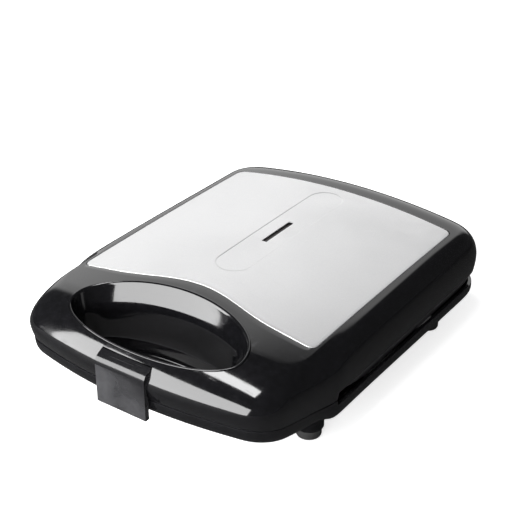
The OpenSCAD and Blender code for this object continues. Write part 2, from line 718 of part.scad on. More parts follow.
module lower_plate() color([0.12, 0.12, 0.125]) placed() cooking_plate();
module upper_plate() color([0.12, 0.12, 0.125]) placed() for_lid() cooking_plate();
module lower_heater() color([0.45, 0.44, 0.42]) placed() heater();
module upper_heater() color([0.45, 0.44, 0.42]) placed() for_lid() heater();
module lower_reflector() color([0.8, 0.8, 0.8]) placed() reflector();
module upper_reflector() color([0.8, 0.8, 0.8]) placed() for_lid() reflector();
module lower_plate_screws() color([0.6, 0.6, 0.6]) placed() plate_screws();
module upper_plate_screws() color([0.6, 0.6, 0.6]) placed() for_lid() plate_screws();
module base_screws() color([0.6, 0.6, 0.6]) placed()
    for (p = screw_places) screw(p[0], p[1], screw_seat - seat_gap - screw_head_h, base_screw_l);
module lid_screws() color([0.6, 0.6, 0.6]) placed()
    for (p = screw_places) screw(p[0], p[1], upper_deck - seat_gap, lid_post_z + 6 - upper_deck);

// ---------- electrical pieces ----------
control_r = 8;
control_h = 6;

module thermostat() color([0.75, 0.72, 0.65]) placed() for_lid()
    translate([0, plate_y, lower_back - seat_gap - control_h]) {
        cylinder(r = control_r, h = control_h);
        for (x = [-5, 5]) translate([x - 1.5, -0.4, -1]) cube([3, 0.8, 1.2]);
    }

fuse_r = 2;
fuse_l = 14;
lead_r = 0.6;
lead_l = 8;
module thermal_fuse() color([0.85, 0.85, 0.8]) placed()
    translate([-15, plate_y, lower_back - seat_gap - fuse_r]) rotate([0, 90, 0]) {
        cylinder(r = fuse_r, h = fuse_l);
        translate([0, 0, -lead_l]) cylinder(r = lead_r, h = fuse_l + 2 * lead_l);
    }

block_size = [36, 12, 10];
block_y = cast_back + 3;
block_low = deck_top - deck_t - seat_gap - block_size[2];
module terminal_block() color([0.9, 0.88, 0.82]) placed() difference() {
    translate([-block_size[0] / 2, block_y, block_low]) cube(block_size);
    for (x = [-1, 0, 1] * block_size[0] / 3) translate([x, block_y + block_size[1] / 2, block_low - 4])
        cylinder(r = 2, h = 8);
}

module cord_inlet() color([0.04, 0.04, 0.04]) placed()
    translate([cord_x, 0, inlet_z]) rotate([-90, 0, 0]) difference() {
        union() {
            translate([0, 0, inlet_face + seat_gap]) cylinder(r = inlet_flange_r, h = 3);
            translate([0, 0, inlet_start]) cylinder(r = inlet_neck_r, h = inlet_face - inlet_start + 2);
        }
        translate([0, 0, inlet_start - 1]) cylinder(r = cord_r, h = 40);
    }

lamp_z = 79.5;
window_low = 82.2;
window_top = 88;
holder_top = 84.5;
holder_low = lamp_z - lamp_r - 1.8;
holder_w = 14;
holder_rim = 3;          // wall of the holder before and behind the window
fit = 0.2;               // play of the window and the lamps in the holder
module lamp_holder() color([0.85, 0.85, 0.8]) placed() translate([0, window_y, 0]) difference() {
    translate([-holder_w / 2, -window_l / 2 - holder_rim, holder_low])
        cube([holder_w, window_l + 2 * holder_rim, holder_top - holder_low]);
    translate([-lamp_r - fit / 2, -window_l / 2 + 1, lamp_z - lamp_r - fit / 2])
        cube([2 * lamp_r + fit, window_l - 2, 20]);
    translate([-window_w / 2 - fit, -window_l / 2 - fit, window_low - fit])
        cube([window_w + 2 * fit, window_l + 2 * fit, 20]);
}
module lamp(y) translate([0, y, lamp_z]) rotate([-90, 0, 0]) {
    cylinder(r = lamp_r, h = lamp_l - lamp_r);
    translate([0, 0, lamp_l - lamp_r]) sphere(r = lamp_r);
}
module power_lamp() color([0.9, 0.25, 0.15]) placed() lamp(window_y - window_l / 2 + 3);
module ready_lamp() color([0.25, 0.8, 0.3]) placed() lamp(window_y + 3);
module indicator_window() color([0.1, 0.05, 0.05]) placed()
    translate([-window_w / 2 + seat_gap, window_y - window_l / 2 + seat_gap, window_low])
        cube([window_w - 2 * seat_gap, window_l - 2 * seat_gap, window_top - window_low]);

// ---------- hinge ----------
bracket_t = 2.5;
bracket_h = 12;
bracket_head_r = 2.4;    // heads of the bracket screws
bracket_head_h = 1.6;
bracket_screw_l = 5;
module hinge_bracket(x) translate([x, 0, 0]) difference() {
    union() {
        translate([-bracket_pad_w / 2, bracket_face + seat_gap, bracket_low])
            cube([bracket_pad_w, bracket_t, bracket_h]);
        for (s = [-1, 1]) translate([s * (barrel_w / 2 + ear_gap + ear_w / 2) - ear_w / 2, 0, 0]) {
            translate([0, hinge_y, hinge_z]) rotate([0, 90, 0]) cylinder(r = barrel_r, h = ear_w);
            translate([0, bracket_face + seat_gap, bracket_low])
                cube([ear_w, hinge_y - bracket_face - seat_gap + 2, hinge_z - bracket_low]);
        }
    }
    translate([-30, hinge_y, hinge_z]) rotate([0, 90, 0]) cylinder(r = pin_r, h = 60);
    for (s = [-bracket_screw_x, bracket_screw_x]) translate([s, bracket_face - 10, bracket_screw_z])
        rotate([-90, 0, 0]) cylinder(r = screw_r + screw_gap, h = 30);
}
module hinge_pin(x) {
    l = barrel_w + 2 * (ear_gap + ear_w) + 1;
    translate([x - l / 2, hinge_y, hinge_z]) rotate([0, 90, 0]) cylinder(r = pin_r, h = l);
}
module hinge_bracket_left() color([0.05, 0.05, 0.05]) placed() hinge_bracket(-hinge_x);
module hinge_bracket_right() color([0.05, 0.05, 0.05]) placed() hinge_bracket(hinge_x);
module hinge_pin_left() color([0.7, 0.7, 0.7]) placed() hinge_pin(-hinge_x);
module hinge_pin_right() color([0.7, 0.7, 0.7]) placed() hinge_pin(hinge_x);
module hinge_screws() color([0.6, 0.6, 0.6]) placed()
    for (x = [-hinge_x, hinge_x], s = [-bracket_screw_x, bracket_screw_x])
        translate([x + s, bracket_face + bracket_t + 2 * seat_gap + bracket_head_h, bracket_screw_z])
            rotate([90, 0, 0]) {
                cylinder(r = screw_r, h = bracket_screw_l);
                cylinder(r = bracket_head_r, h = bracket_head_h);
            }

// ---------- feet ----------
foot_top = foot_h - seat_gap;
foot_side = [[0, 0], [foot_r - 1.6, 0], [foot_r - 0.5, 0.5], [foot_r, 1.6],
    [foot_r, foot_top], [0, foot_top]];
module foot(x, y) color([0.05, 0.05, 0.05]) placed() translate([x, y, 0])
    rotate_extrude() polygon(foot_side);
module foot_front_left() foot(-foot_x, -foot_y);
module foot_front_right() foot(foot_x, -foot_y);
module foot_back_left() foot(-foot_x, foot_y);
module foot_back_right() foot(foot_x, foot_y);

// ---------- latch ----------
latch_face = -nose_reach - latch_proud - latch_y;     // its face, counted from the pivot
hook_z = parting_z(latch_y) - grip_drop - close_gap - hook_t;
hook_l = 3.8;
boss_r = 2.8;
thick_below = 14.5;      // from here down, counted from the pivot, the plate is thick
thin_above = 8.5;        // and from here up it is thin
thick_t = 3.6;           // its thickness beside the base half of the handle

// side view of the top of the latch round its pivot, which goes on with the curve of the nose
latch_top = concat(
    [for (a = [88, 82]) [-latch_r * cos(a), latch_r * sin(a)]],
    [[-2.5, 7.4], [-4, 6.1], [-5.4, 4.5], [-6.7, 2.4], [-7.7, 0.2]],
    [[latch_face, -boss_r], [0, -boss_r], [boss_r, 0]]);

// side view of its plate, which fills the space before the handle, and of the hook
hook_low = hook_z - latch_z;
latch_plate = [[latch_face, -boss_r], [latch_face, hook_low], [latch_face + hook_l, hook_low],
    [latch_face + hook_l, hook_low + hook_t], [latch_face + thick_t, hook_low + hook_t],
    [latch_face + thick_t, -thick_below], [latch_face + latch_t, -thin_above], [latch_face + latch_t, -1]];

module latch() color([0.04, 0.04, 0.045]) placed() {
    for (side = [latch_top, latch_plate]) translate([-latch_w / 2, latch_y, latch_z])
        rotate([90, 0, 90]) linear_extrude(height = latch_w) polygon(side);
    translate([-latch_w / 2, latch_y, latch_z]) rotate([0, 90, 0]) cylinder(r = boss_r, h = latch_w);
    translate([-latch_w / 2 - stub_l, latch_y, latch_z]) rotate([0, 90, 0])
        cylinder(r = stub_r, h = latch_w + 2 * stub_l);
}

module latch_bearings() color([0.1, 0.1, 0.1]) placed() for (s = [-1, 1])
    translate([s * bush_x - bush_w / 2, latch_y, latch_z]) rotate([0, 90, 0]) difference() {
        cylinder(r = bush_r, h = bush_w);
        translate([0, 0, -1]) cylinder(r = stub_r + pin_fit, h = bush_w + 2);
    }

base_shell();
base_frame();
lower_plate();
lower_heater();
lower_reflector();
lower_plate_screws();
base_screws();
thermal_fuse();
terminal_block();
cord_inlet();
hinge_bracket_left();
hinge_bracket_right();
hinge_pin_left();
hinge_pin_right();
hinge_screws();
foot_front_left();
foot_front_right();
foot_back_left();
foot_back_right();
lid_shell();
lid_frame();
top_panel();
grip_liner();
upper_plate();
upper_heater();
upper_reflector();
upper_plate_screws();
lid_screws();
thermostat();
indicator_window();
lamp_holder();
power_lamp();
ready_lamp();
latch_bearings();
latch();
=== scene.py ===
# %% [markdown]
# # A closed sandwich toaster on a white table
#
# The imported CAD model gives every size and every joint. This file dresses it. The two glossy
# shells, the steel panel, the liner of the hand opening and the clip are worked out again as fine
# smooth surfaces, because gloss shows every facet. The cooking plates and the small exact pieces,
# such as feet, screws, pins and lamps, stay as they are and get a finish.

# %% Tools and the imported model
import json
import math

import bpy
import numpy as np
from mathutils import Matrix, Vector


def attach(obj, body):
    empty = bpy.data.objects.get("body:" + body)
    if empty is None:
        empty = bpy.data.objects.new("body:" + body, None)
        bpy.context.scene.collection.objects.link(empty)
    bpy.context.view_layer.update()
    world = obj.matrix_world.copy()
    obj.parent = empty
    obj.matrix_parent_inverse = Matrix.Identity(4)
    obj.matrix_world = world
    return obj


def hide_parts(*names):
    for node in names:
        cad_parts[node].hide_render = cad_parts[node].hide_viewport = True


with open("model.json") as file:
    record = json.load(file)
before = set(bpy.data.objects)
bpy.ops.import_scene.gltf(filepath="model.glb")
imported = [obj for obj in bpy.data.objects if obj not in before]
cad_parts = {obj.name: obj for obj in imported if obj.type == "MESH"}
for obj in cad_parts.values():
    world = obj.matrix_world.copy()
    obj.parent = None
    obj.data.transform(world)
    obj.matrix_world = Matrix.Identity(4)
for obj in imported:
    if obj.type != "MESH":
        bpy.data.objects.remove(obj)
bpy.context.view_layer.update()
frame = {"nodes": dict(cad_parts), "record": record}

# %% [markdown]
# ## Camera
#
# The photograph looks down on the right front corner. Its view was solved from the four corners of
# the steel panel and the outline of the body. It is a long lens, so the sides stay nearly parallel.
# The camera is placed by its two angles and its distance, which is how a photographer thinks of it.

# %% Camera
MM = 0.001
AZIMUTH, ELEVATION, DISTANCE = math.radians(35.3), math.radians(28.2), 0.828
AIM = Vector((9.4, -18.7, 90.0)) * MM
FOCAL_PIXELS, PICTURE_PIXELS, SENSOR = 1150.0, 512.0, 36.0

towards_camera = Vector((math.sin(AZIMUTH) * math.cos(ELEVATION), -math.cos(AZIMUTH) * math.cos(ELEVATION),
                         math.sin(ELEVATION)))
camera = bpy.data.objects.new("camera", bpy.data.cameras.new("camera"))
bpy.context.scene.collection.objects.link(camera)
camera.data.sensor_width = SENSOR
camera.data.lens = FOCAL_PIXELS / PICTURE_PIXELS * SENSOR
camera.data.clip_start, camera.data.clip_end = 0.01, 30.0
camera.location = AIM + towards_camera * DISTANCE
camera.rotation_euler = (-towards_camera).to_track_quat("-Z", "Y").to_euler()
bpy.context.scene.camera = camera
bpy.context.scene.view_settings.view_transform = "Standard"
print("lens in mm:", round(camera.data.lens, 2))

# %% [markdown]
# ## Node helpers
#
# Every material is built from nodes, so a few short helpers keep the code readable: one adds a node
# and sets its values, one joins two sockets. Effects that several finishes share are made once as
# node groups. A group has named inputs and puts out masks, never a whole shader.


# %% Node helpers
def add_node(tree, kind, **values):
    """Adds a node of that kind and sets its properties and, by name, its inputs."""
    node = tree.nodes.new(kind)
    for key, value in values.items():
        if hasattr(node, key):
            setattr(node, key, value)
        else:
            node.inputs[key.replace("_", " ")].default_value = value
    return node


def join(tree, source, target):
    """Links an output socket to an input socket."""
    tree.links.new(source, target)


def new_group(name, inputs, outputs):
    """A shader group with float inputs (name, value) and float outputs, and its two end nodes."""
    tree = bpy.data.node_groups.new(name, "ShaderNodeTree")
    for label, value in inputs:
        socket = tree.interface.new_socket(label, in_out="INPUT", socket_type="NodeSocketFloat")
        socket.default_value = value
    for label in outputs:
        tree.interface.new_socket(label, in_out="OUTPUT", socket_type="NodeSocketFloat")
    return tree, tree.nodes.new("NodeGroupInput"), tree.nodes.new("NodeGroupOutput")


# %% [markdown]
# ## Shared effects
#
# Three things make moulded plastic and pressed metal look real. Handling leaves soft smudges and
# faint hair scratches. Edges are polished by use, so they are a little lighter. Moulded and cast
# faces have a fine grain. They could be painted pictures, but a pattern worked out from the piece's
# own coordinates has no seam and stays sharp close up. Each effect is one group, made once.

# %% Handling: smudges and hair scratches
handling, g_in, g_out = new_group("handling", [("Smudge Size", 30.0), ("Scratch Size", 420.0)],
                                  ["Smudge", "Scratch"])
place = add_node(handling, "ShaderNodeTexCoord")
smudge = add_node(handling, "ShaderNodeTexNoise", Detail=5.0, Roughness=0.62)
join(handling, place.outputs["Object"], smudge.inputs["Vector"])
join(handling, g_in.outputs["Smudge Size"], smudge.inputs["Scale"])
smudge_range = add_node(handling, "ShaderNodeMapRange", From_Min=0.35, From_Max=0.72)
join(handling, smudge.outputs["Fac"], smudge_range.inputs["Value"])
stretch = add_node(handling, "ShaderNodeMapping")
stretch.inputs["Scale"].default_value = (0.05, 1.0, 1.0)
stretch.inputs["Rotation"].default_value = (0.0, 0.0, 0.6)
join(handling, place.outputs["Object"], stretch.inputs["Vector"])
scratch = add_node(handling, "ShaderNodeTexNoise", Detail=2.0, Roughness=0.5)
join(handling, stretch.outputs["Vector"], scratch.inputs["Vector"])
join(handling, g_in.outputs["Scratch Size"], scratch.inputs["Scale"])
scratch_range = add_node(handling, "ShaderNodeMapRange", From_Min=0.66, From_Max=0.72)
join(handling, scratch.outputs["Fac"], scratch_range.inputs["Value"])
join(handling, smudge_range.outputs["Result"], g_out.inputs["Smudge"])
join(handling, scratch_range.outputs["Result"], g_out.inputs["Scratch"])
print("group:", handling.name)

# %% Edges that are rubbed lighter
edge_wear, g_in, g_out = new_group("edge_wear", [("Start", 0.53), ("End", 0.62), ("Patch Size", 55.0)],
                                   ["Edge"])
shape = add_node(edge_wear, "ShaderNodeNewGeometry")
edge_range = add_node(edge_wear, "ShaderNodeMapRange")
join(edge_wear, shape.outputs["Pointiness"], edge_range.inputs["Value"])
join(edge_wear, g_in.outputs["Start"], edge_range.inputs["From Min"])
join(edge_wear, g_in.outputs["End"], edge_range.inputs["From Max"])
place = add_node(edge_wear, "ShaderNodeTexCoord")
patches = add_node(edge_wear, "ShaderNodeTexNoise", Detail=4.0, Roughness=0.6)
join(edge_wear, place.outputs["Object"], patches.inputs["Vector"])
join(edge_wear, g_in.outputs["Patch Size"], patches.inputs["Scale"])
patch_range = add_node(edge_wear, "ShaderNodeMapRange", From_Min=0.3, From_Max=0.7, To_Min=0.35, To_Max=1.0)
join(edge_wear, patches.outputs["Fac"], patch_range.inputs["Value"])
edge_out = add_node(edge_wear, "ShaderNodeMath", operation="MULTIPLY")
join(edge_wear, edge_range.outputs["Result"], edge_out.inputs[0])
join(edge_wear, patch_range.outputs["Result"], edge_out.inputs[1])
join(edge_wear, edge_out.outputs["Value"], g_out.inputs["Edge"])
print("group:", edge_wear.name)

# %% Fine grain of moulded and cast faces
fine_grain, g_in, g_out = new_group("fine_grain", [("Grain Size", 900.0), ("Wave Size", 60.0),
                                                   ("Wave Share", 0.3)], ["Height", "Speck"])
place = add_node(fine_grain, "ShaderNodeTexCoord")
grain = add_node(fine_grain, "ShaderNodeTexNoise", Detail=3.0, Roughness=0.55)
join(fine_grain, place.outputs["Object"], grain.inputs["Vector"])
join(fine_grain, g_in.outputs["Grain Size"], grain.inputs["Scale"])
wave = add_node(fine_grain, "ShaderNodeTexNoise", Detail=1.0, Roughness=0.4)
join(fine_grain, place.outputs["Object"], wave.inputs["Vector"])
join(fine_grain, g_in.outputs["Wave Size"], wave.inputs["Scale"])
both = add_node(fine_grain, "ShaderNodeMix", data_type="FLOAT")
join(fine_grain, g_in.outputs["Wave Share"], both.inputs["Factor"])
join(fine_grain, grain.outputs["Fac"], both.inputs["A"])
join(fine_grain, wave.outputs["Fac"], both.inputs["B"])
speck = add_node(fine_grain, "ShaderNodeMapRange", From_Min=0.4, From_Max=0.75)
join(fine_grain, grain.outputs["Fac"], speck.inputs["Value"])
join(fine_grain, both.outputs["Result"], g_out.inputs["Height"])
join(fine_grain, speck.outputs["Result"], g_out.inputs["Speck"])
print("group:", fine_grain.name)

# %% [markdown]
# ## One recipe for solid finishes
#
# Plastic, coated and plain metal differ in colours, roughness and grain, not in how their nodes are
# joined. So one function joins the three groups to a Principled shader: the base colour goes from
# dark to light with the specks and to the edge colour where it is rubbed, smudges and scratches
# change the roughness, and the grain is a bump.


# %% Recipe for a finish
def finish(name, dark, light, edge, rough, grain_size=900.0, wave_share=0.3, bump=0.02, bump_distance=0.2,
           scratch_rough=0.15, edge_range=(0.53, 0.62), smudge_size=30.0, **sockets):
    """Principled material: colours are (r, g, b), rough is (clean, smudged); other words set its sockets."""
    material = bpy.data.materials.new(name)
    material.use_nodes = True
    tree = material.node_tree
    shader = tree.nodes["Principled BSDF"]
    for key, value in sockets.items():
        shader.inputs[key.replace("_", " ")].default_value = value
    touch = add_node(tree, "ShaderNodeGroup", node_tree=handling)
    touch.inputs["Smudge Size"].default_value = smudge_size
    wear = add_node(tree, "ShaderNodeGroup", node_tree=edge_wear)
    wear.inputs["Start"].default_value, wear.inputs["End"].default_value = edge_range
    grain = add_node(tree, "ShaderNodeGroup", node_tree=fine_grain)
    grain.inputs["Grain Size"].default_value = grain_size
    grain.inputs["Wave Share"].default_value = wave_share
    base = add_node(tree, "ShaderNodeMix", data_type="RGBA")
    base.inputs["A"].default_value, base.inputs["B"].default_value = (*dark, 1.0), (*light, 1.0)
    join(tree, grain.outputs["Speck"], base.inputs["Factor"])
    worn = add_node(tree, "ShaderNodeMix", data_type="RGBA")
    worn.inputs["B"].default_value = (*edge, 1.0)
    join(tree, wear.outputs["Edge"], worn.inputs["Factor"])
    join(tree, base.outputs["Result"], worn.inputs["A"])
    join(tree, worn.outputs["Result"], shader.inputs["Base Color"])
    gloss = add_node(tree, "ShaderNodeMapRange", To_Min=rough[0], To_Max=rough[1])
    join(tree, touch.outputs["Smudge"], gloss.inputs["Value"])
    scratched = add_node(tree, "ShaderNodeMath", operation="MULTIPLY_ADD")
    scratched.inputs[1].default_value = scratch_rough
    join(tree, touch.outputs["Scratch"], scratched.inputs[0])
    join(tree, gloss.outputs["Result"], scratched.inputs[2])
    join(tree, scratched.outputs["Value"], shader.inputs["Roughness"])
    relief = add_node(tree, "ShaderNodeBump", Strength=bump, Distance=bump_distance * MM)
    join(tree, grain.outputs["Height"], relief.inputs["Height"])
    join(tree, relief.outputs["Normal"], shader.inputs["Normal"])
    return material


# %% [markdown]
# ## Finishes
#
# The shells are deep black polished plastic: almost no colour of their own, so what shows is the
# reflection. The inner frames are the same plastic with a moulded grain. The cooking plates have a
# non-stick coat with tiny specks. Small metal parts are zinc plated, and the heaters are stained by
# their own heat.

# %% Plastic, rubber and coating
black_gloss = finish("polished_black", (0.0035, 0.0035, 0.004), (0.006, 0.006, 0.007), (0.03, 0.03, 0.033),
                     (0.07, 0.15), grain_size=260.0, wave_share=0.75, bump=0.03, scratch_rough=0.1,
                     Specular_IOR_Level=0.55, Coat_Weight=0.35, Coat_Roughness=0.04)
black_satin = finish("moulded_black", (0.012, 0.012, 0.013), (0.022, 0.022, 0.024), (0.06, 0.06, 0.062),
                     (0.38, 0.5), grain_size=1500.0, wave_share=0.1, bump=0.25)
clip_gloss = finish("clip_black", (0.006, 0.006, 0.007), (0.012, 0.012, 0.013), (0.05, 0.05, 0.053),
                    (0.16, 0.26), grain_size=700.0, wave_share=0.3, bump=0.06, Coat_Weight=0.2,
                    Coat_Roughness=0.12)
rubber_black = finish("soft_rubber", (0.014, 0.014, 0.014), (0.03, 0.03, 0.03), (0.07, 0.07, 0.07),
                      (0.75, 0.9), grain_size=1100.0, bump=0.35, smudge_size=80.0)
nonstick = finish("nonstick_coat", (0.022, 0.022, 0.024), (0.05, 0.05, 0.053), (0.16, 0.16, 0.165), (0.3, 0.42),
                  grain_size=1300.0, wave_share=0.25, bump=0.3, edge_range=(0.55, 0.68), Metallic=0.35,
                  Coat_Weight=0.25, Coat_Roughness=0.25)
window_dark = finish("smoked_window", (0.012, 0.009, 0.009), (0.02, 0.014, 0.014), (0.05, 0.045, 0.045),
                     (0.2, 0.3), grain_size=400.0, wave_share=0.6, bump=0.02, Specular_IOR_Level=0.3)
print("plastic finishes:", [m.name for m in (black_gloss, black_satin, clip_gloss, rubber_black)])

# %% Metal, ceramic and lamps
screw_steel = finish("zinc_plate", (0.42, 0.42, 0.43), (0.6, 0.6, 0.6), (0.8, 0.8, 0.8), (0.25, 0.42),
                     grain_size=1200.0, bump=0.15, Metallic=0.95)
heater_tube = finish("heater_steel", (0.16, 0.14, 0.12), (0.34, 0.3, 0.26), (0.5, 0.47, 0.42), (0.35, 0.55),
                     grain_size=700.0, bump=0.2, smudge_size=110.0, Metallic=0.85)
tray_metal = finish("bright_sheet", (0.6, 0.6, 0.61), (0.78, 0.78, 0.78), (0.9, 0.9, 0.9), (0.18, 0.34),
                    grain_size=500.0, bump=0.1, Metallic=1.0)
ceramic_white = finish("white_ceramic", (0.62, 0.6, 0.55), (0.74, 0.72, 0.66), (0.85, 0.84, 0.8), (0.45, 0.62),
                       grain_size=800.0, bump=0.2)
natural_plastic = finish("pale_plastic", (0.66, 0.65, 0.6), (0.76, 0.75, 0.7), (0.85, 0.85, 0.82), (0.4, 0.55),
                         grain_size=1000.0, bump=0.15)
lamp_red = finish("red_lens", (0.6, 0.06, 0.03), (0.8, 0.12, 0.06), (0.9, 0.3, 0.2), (0.08, 0.18), bump=0.05,
                  Transmission_Weight=0.6, Coat_Weight=0.5)
lamp_green = finish("green_lens", (0.05, 0.5, 0.1), (0.1, 0.7, 0.18), (0.3, 0.85, 0.4), (0.08, 0.18), bump=0.05,
                    Transmission_Weight=0.6, Coat_Weight=0.5)
print("metal finishes:", [m.name for m in (screw_steel, heater_tube, tray_metal)])

# %% [markdown]
# ## Steel panel finish
#
# The lid's panel is satin silver sheet. It is brushed so finely that the photograph shows an even
# pale grey, with one shallow pressed field round the indicator window. The field could be modelled,
# but its step is far thinner than the mesh is fine, so it is a bump: the distance to a rounded bar
# is found with a few vector nodes, and its edge is a soft step.

# %% Steel panel finish
FIELD_HALF_W, FIELD_FRONT, FIELD_BACK, STEP_HALF_W = 14.0, -31.3, 88.7, 0.8

lid_steel = finish("satin_steel", (0.84, 0.84, 0.845), (0.9, 0.9, 0.9), (0.95, 0.95, 0.95), (0.34, 0.42),
                   grain_size=1400.0, wave_share=0.05, bump=0.03, Metallic=0.8, Anisotropic=0.3)
tree = lid_steel.node_tree
shader = tree.nodes["Principled BSDF"]
old_normal = shader.inputs["Normal"].links[0].from_socket
place = add_node(tree, "ShaderNodeTexCoord")
nearest = add_node(tree, "ShaderNodeVectorMath", operation="MAXIMUM")
nearest.inputs[1].default_value = (0.0, FIELD_FRONT * MM, 0.0)
join(tree, place.outputs["Object"], nearest.inputs[0])
nearest_low = add_node(tree, "ShaderNodeVectorMath", operation="MINIMUM")
nearest_low.inputs[1].default_value = (0.0, FIELD_BACK * MM, 0.0)
join(tree, nearest.outputs["Vector"], nearest_low.inputs[0])
flat_place = add_node(tree, "ShaderNodeVectorMath", operation="MULTIPLY")
flat_place.inputs[1].default_value = (1.0, 1.0, 0.0)
join(tree, place.outputs["Object"], flat_place.inputs[0])
away = add_node(tree, "ShaderNodeVectorMath", operation="DISTANCE")
join(tree, flat_place.outputs["Vector"], away.inputs[0])
flat_near = add_node(tree, "ShaderNodeVectorMath", operation="MULTIPLY")
flat_near.inputs[1].default_value = (0.0, 1.0, 0.0)
join(tree, nearest_low.outputs["Vector"], flat_near.inputs[0])
join(tree, flat_near.outputs["Vector"], away.inputs[1])
step = add_node(tree, "ShaderNodeMapRange", interpolation_type="SMOOTHSTEP",
                From_Min=(FIELD_HALF_W - STEP_HALF_W) * MM, From_Max=(FIELD_HALF_W + STEP_HALF_W) * MM)
join(tree, away.outputs["Value"], step.inputs["Value"])
pressed = add_node(tree, "ShaderNodeBump", Strength=0.9, Distance=0.5 * MM)
join(tree, step.outputs["Result"], pressed.inputs["Height"])
join(tree, old_normal, pressed.inputs["Normal"])
join(tree, pressed.outputs["Normal"], shader.inputs["Normal"])
print("pressed field:", 2 * FIELD_HALF_W, "mm wide")

# %% [markdown]
# ## Floor, light and background
#
# The photograph is a cut-out on white. A large pale floor that is white to the camera gives that,
# whiter still far away, and keeps a soft shadow near the toaster. A wide low lamp in front on the
# left makes the bright bands on the nose and in the hand opening, and a small one overhead makes the
# second band by the opening. What the gloss mirrors of the world is dark, but for a white wall
# behind on the left, as in a studio with one white flat.

# %% Floor
FLOOR_HALF = 6.0
floor_corners = [(x * FLOOR_HALF, y * FLOOR_HALF, 0) for x, y in ((-1, -1), (1, -1), (1, 1), (-1, 1))]
floor_mesh = bpy.data.meshes.new("floor")
floor_mesh.from_pydata(floor_corners, [], [(0, 1, 2, 3)])
floor = bpy.data.objects.new("floor", floor_mesh)
bpy.context.scene.collection.objects.link(floor)
floor_white = bpy.data.materials.new("floor_white")
floor_white.use_nodes = True
tree = floor_white.node_tree
shader = tree.nodes["Principled BSDF"]
shader.inputs["Roughness"].default_value = 0.7
shader.inputs["Specular IOR Level"].default_value = 0.1
rays = add_node(tree, "ShaderNodeLightPath")
seen = add_node(tree, "ShaderNodeMath", operation="MAXIMUM")
join(tree, rays.outputs["Is Camera Ray"], seen.inputs[0])
join(tree, rays.outputs["Is Transmission Ray"], seen.inputs[1])
place = add_node(tree, "ShaderNodeTexCoord")
away = add_node(tree, "ShaderNodeVectorMath", operation="LENGTH")
join(tree, place.outputs["Object"], away.inputs[0])
SHADOW_REACH, WHITE_FROM, NEAR_GLOW = 0.4, 3.0, 0.75
whiter = add_node(tree, "ShaderNodeMapRange", interpolation_type="SMOOTHSTEP", From_Min=SHADOW_REACH,
                  From_Max=WHITE_FROM, To_Min=NEAR_GLOW, To_Max=1.0)
join(tree, away.outputs["Value"], whiter.inputs["Value"])
glow = add_node(tree, "ShaderNodeMath", operation="MULTIPLY")
join(tree, whiter.outputs["Result"], glow.inputs[1])
join(tree, seen.outputs["Value"], glow.inputs[0])
shader.inputs["Emission Color"].default_value = (1.0, 1.0, 1.0, 1.0)
join(tree, glow.outputs["Value"], shader.inputs["Emission Strength"])
PALE, MIRRORED = (0.85, 0.85, 0.85, 1.0), (0.07, 0.07, 0.07, 1.0)
tone = add_node(tree, "ShaderNodeMix", data_type="RGBA")
tone.inputs["A"].default_value, tone.inputs["B"].default_value = PALE, MIRRORED
join(tree, rays.outputs["Is Glossy Ray"], tone.inputs["Factor"])
join(tree, tone.outputs["Result"], shader.inputs["Base Color"])
floor.data.materials.append(floor_white)
print("floor:", 2 * FLOOR_HALF, "m wide")

# %% World
world = bpy.data.worlds.new("studio")
bpy.context.scene.world = world
world.use_nodes = True
tree = world.node_tree
sky = tree.nodes["Background"]
direction = add_node(tree, "ShaderNodeTexCoord")
height = add_node(tree, "ShaderNodeSeparateXYZ")
join(tree, direction.outputs["Generated"], height.inputs["Vector"])
WALL_ENDS, WALL_FULL = 0.75, 0.66
LEFT_END, RIGHT_END = ((0.375, 0.927, 0.0), 0.08), ((-1.0, 0.035, 0.0), 0.15)
white_part = add_node(tree, "ShaderNodeMapRange", interpolation_type="SMOOTHSTEP", From_Min=WALL_ENDS,
                      From_Max=WALL_FULL)
join(tree, height.outputs["Z"], white_part.inputs["Value"])
for across, fade in (LEFT_END, RIGHT_END):
    past = add_node(tree, "ShaderNodeVectorMath", operation="DOT_PRODUCT")
    past.inputs[1].default_value = across
    join(tree, direction.outputs["Generated"], past.inputs[0])
    edge = add_node(tree, "ShaderNodeMapRange", interpolation_type="SMOOTHSTEP", From_Min=0.0, From_Max=fade)
    join(tree, past.outputs["Value"], edge.inputs["Value"])
    both = add_node(tree, "ShaderNodeMath", operation="MULTIPLY")
    join(tree, white_part.outputs[0], both.inputs[0])
    join(tree, edge.outputs["Result"], both.inputs[1])
    white_part = both
DARK, WHITE, FILL = (0.05, 0.05, 0.052, 1.0), (1.0, 1.0, 1.0, 1.0), (0.15, 0.15, 0.153, 1.0)
sweep = add_node(tree, "ShaderNodeMix", data_type="RGBA")
sweep.inputs["A"].default_value, sweep.inputs["B"].default_value = DARK, WHITE
join(tree, white_part.outputs["Value"], sweep.inputs["Factor"])
rays = add_node(tree, "ShaderNodeLightPath")
shown = add_node(tree, "ShaderNodeMix", data_type="RGBA")
shown.inputs["B"].default_value = WHITE
join(tree, rays.outputs["Is Camera Ray"], shown.inputs["Factor"])
mirrored = add_node(tree, "ShaderNodeMath", operation="MAXIMUM")
join(tree, rays.outputs["Is Glossy Ray"], mirrored.inputs[0])
join(tree, rays.outputs["Is Transmission Ray"], mirrored.inputs[1])
lit = add_node(tree, "ShaderNodeMix", data_type="RGBA")
lit.inputs["A"].default_value = FILL
join(tree, mirrored.outputs["Value"], lit.inputs["Factor"])
join(tree, sweep.outputs["Result"], lit.inputs["B"])
join(tree, lit.outputs["Result"], shown.inputs["A"])
join(tree, shown.outputs["Result"], sky.inputs["Color"])
print("world:", world.name)


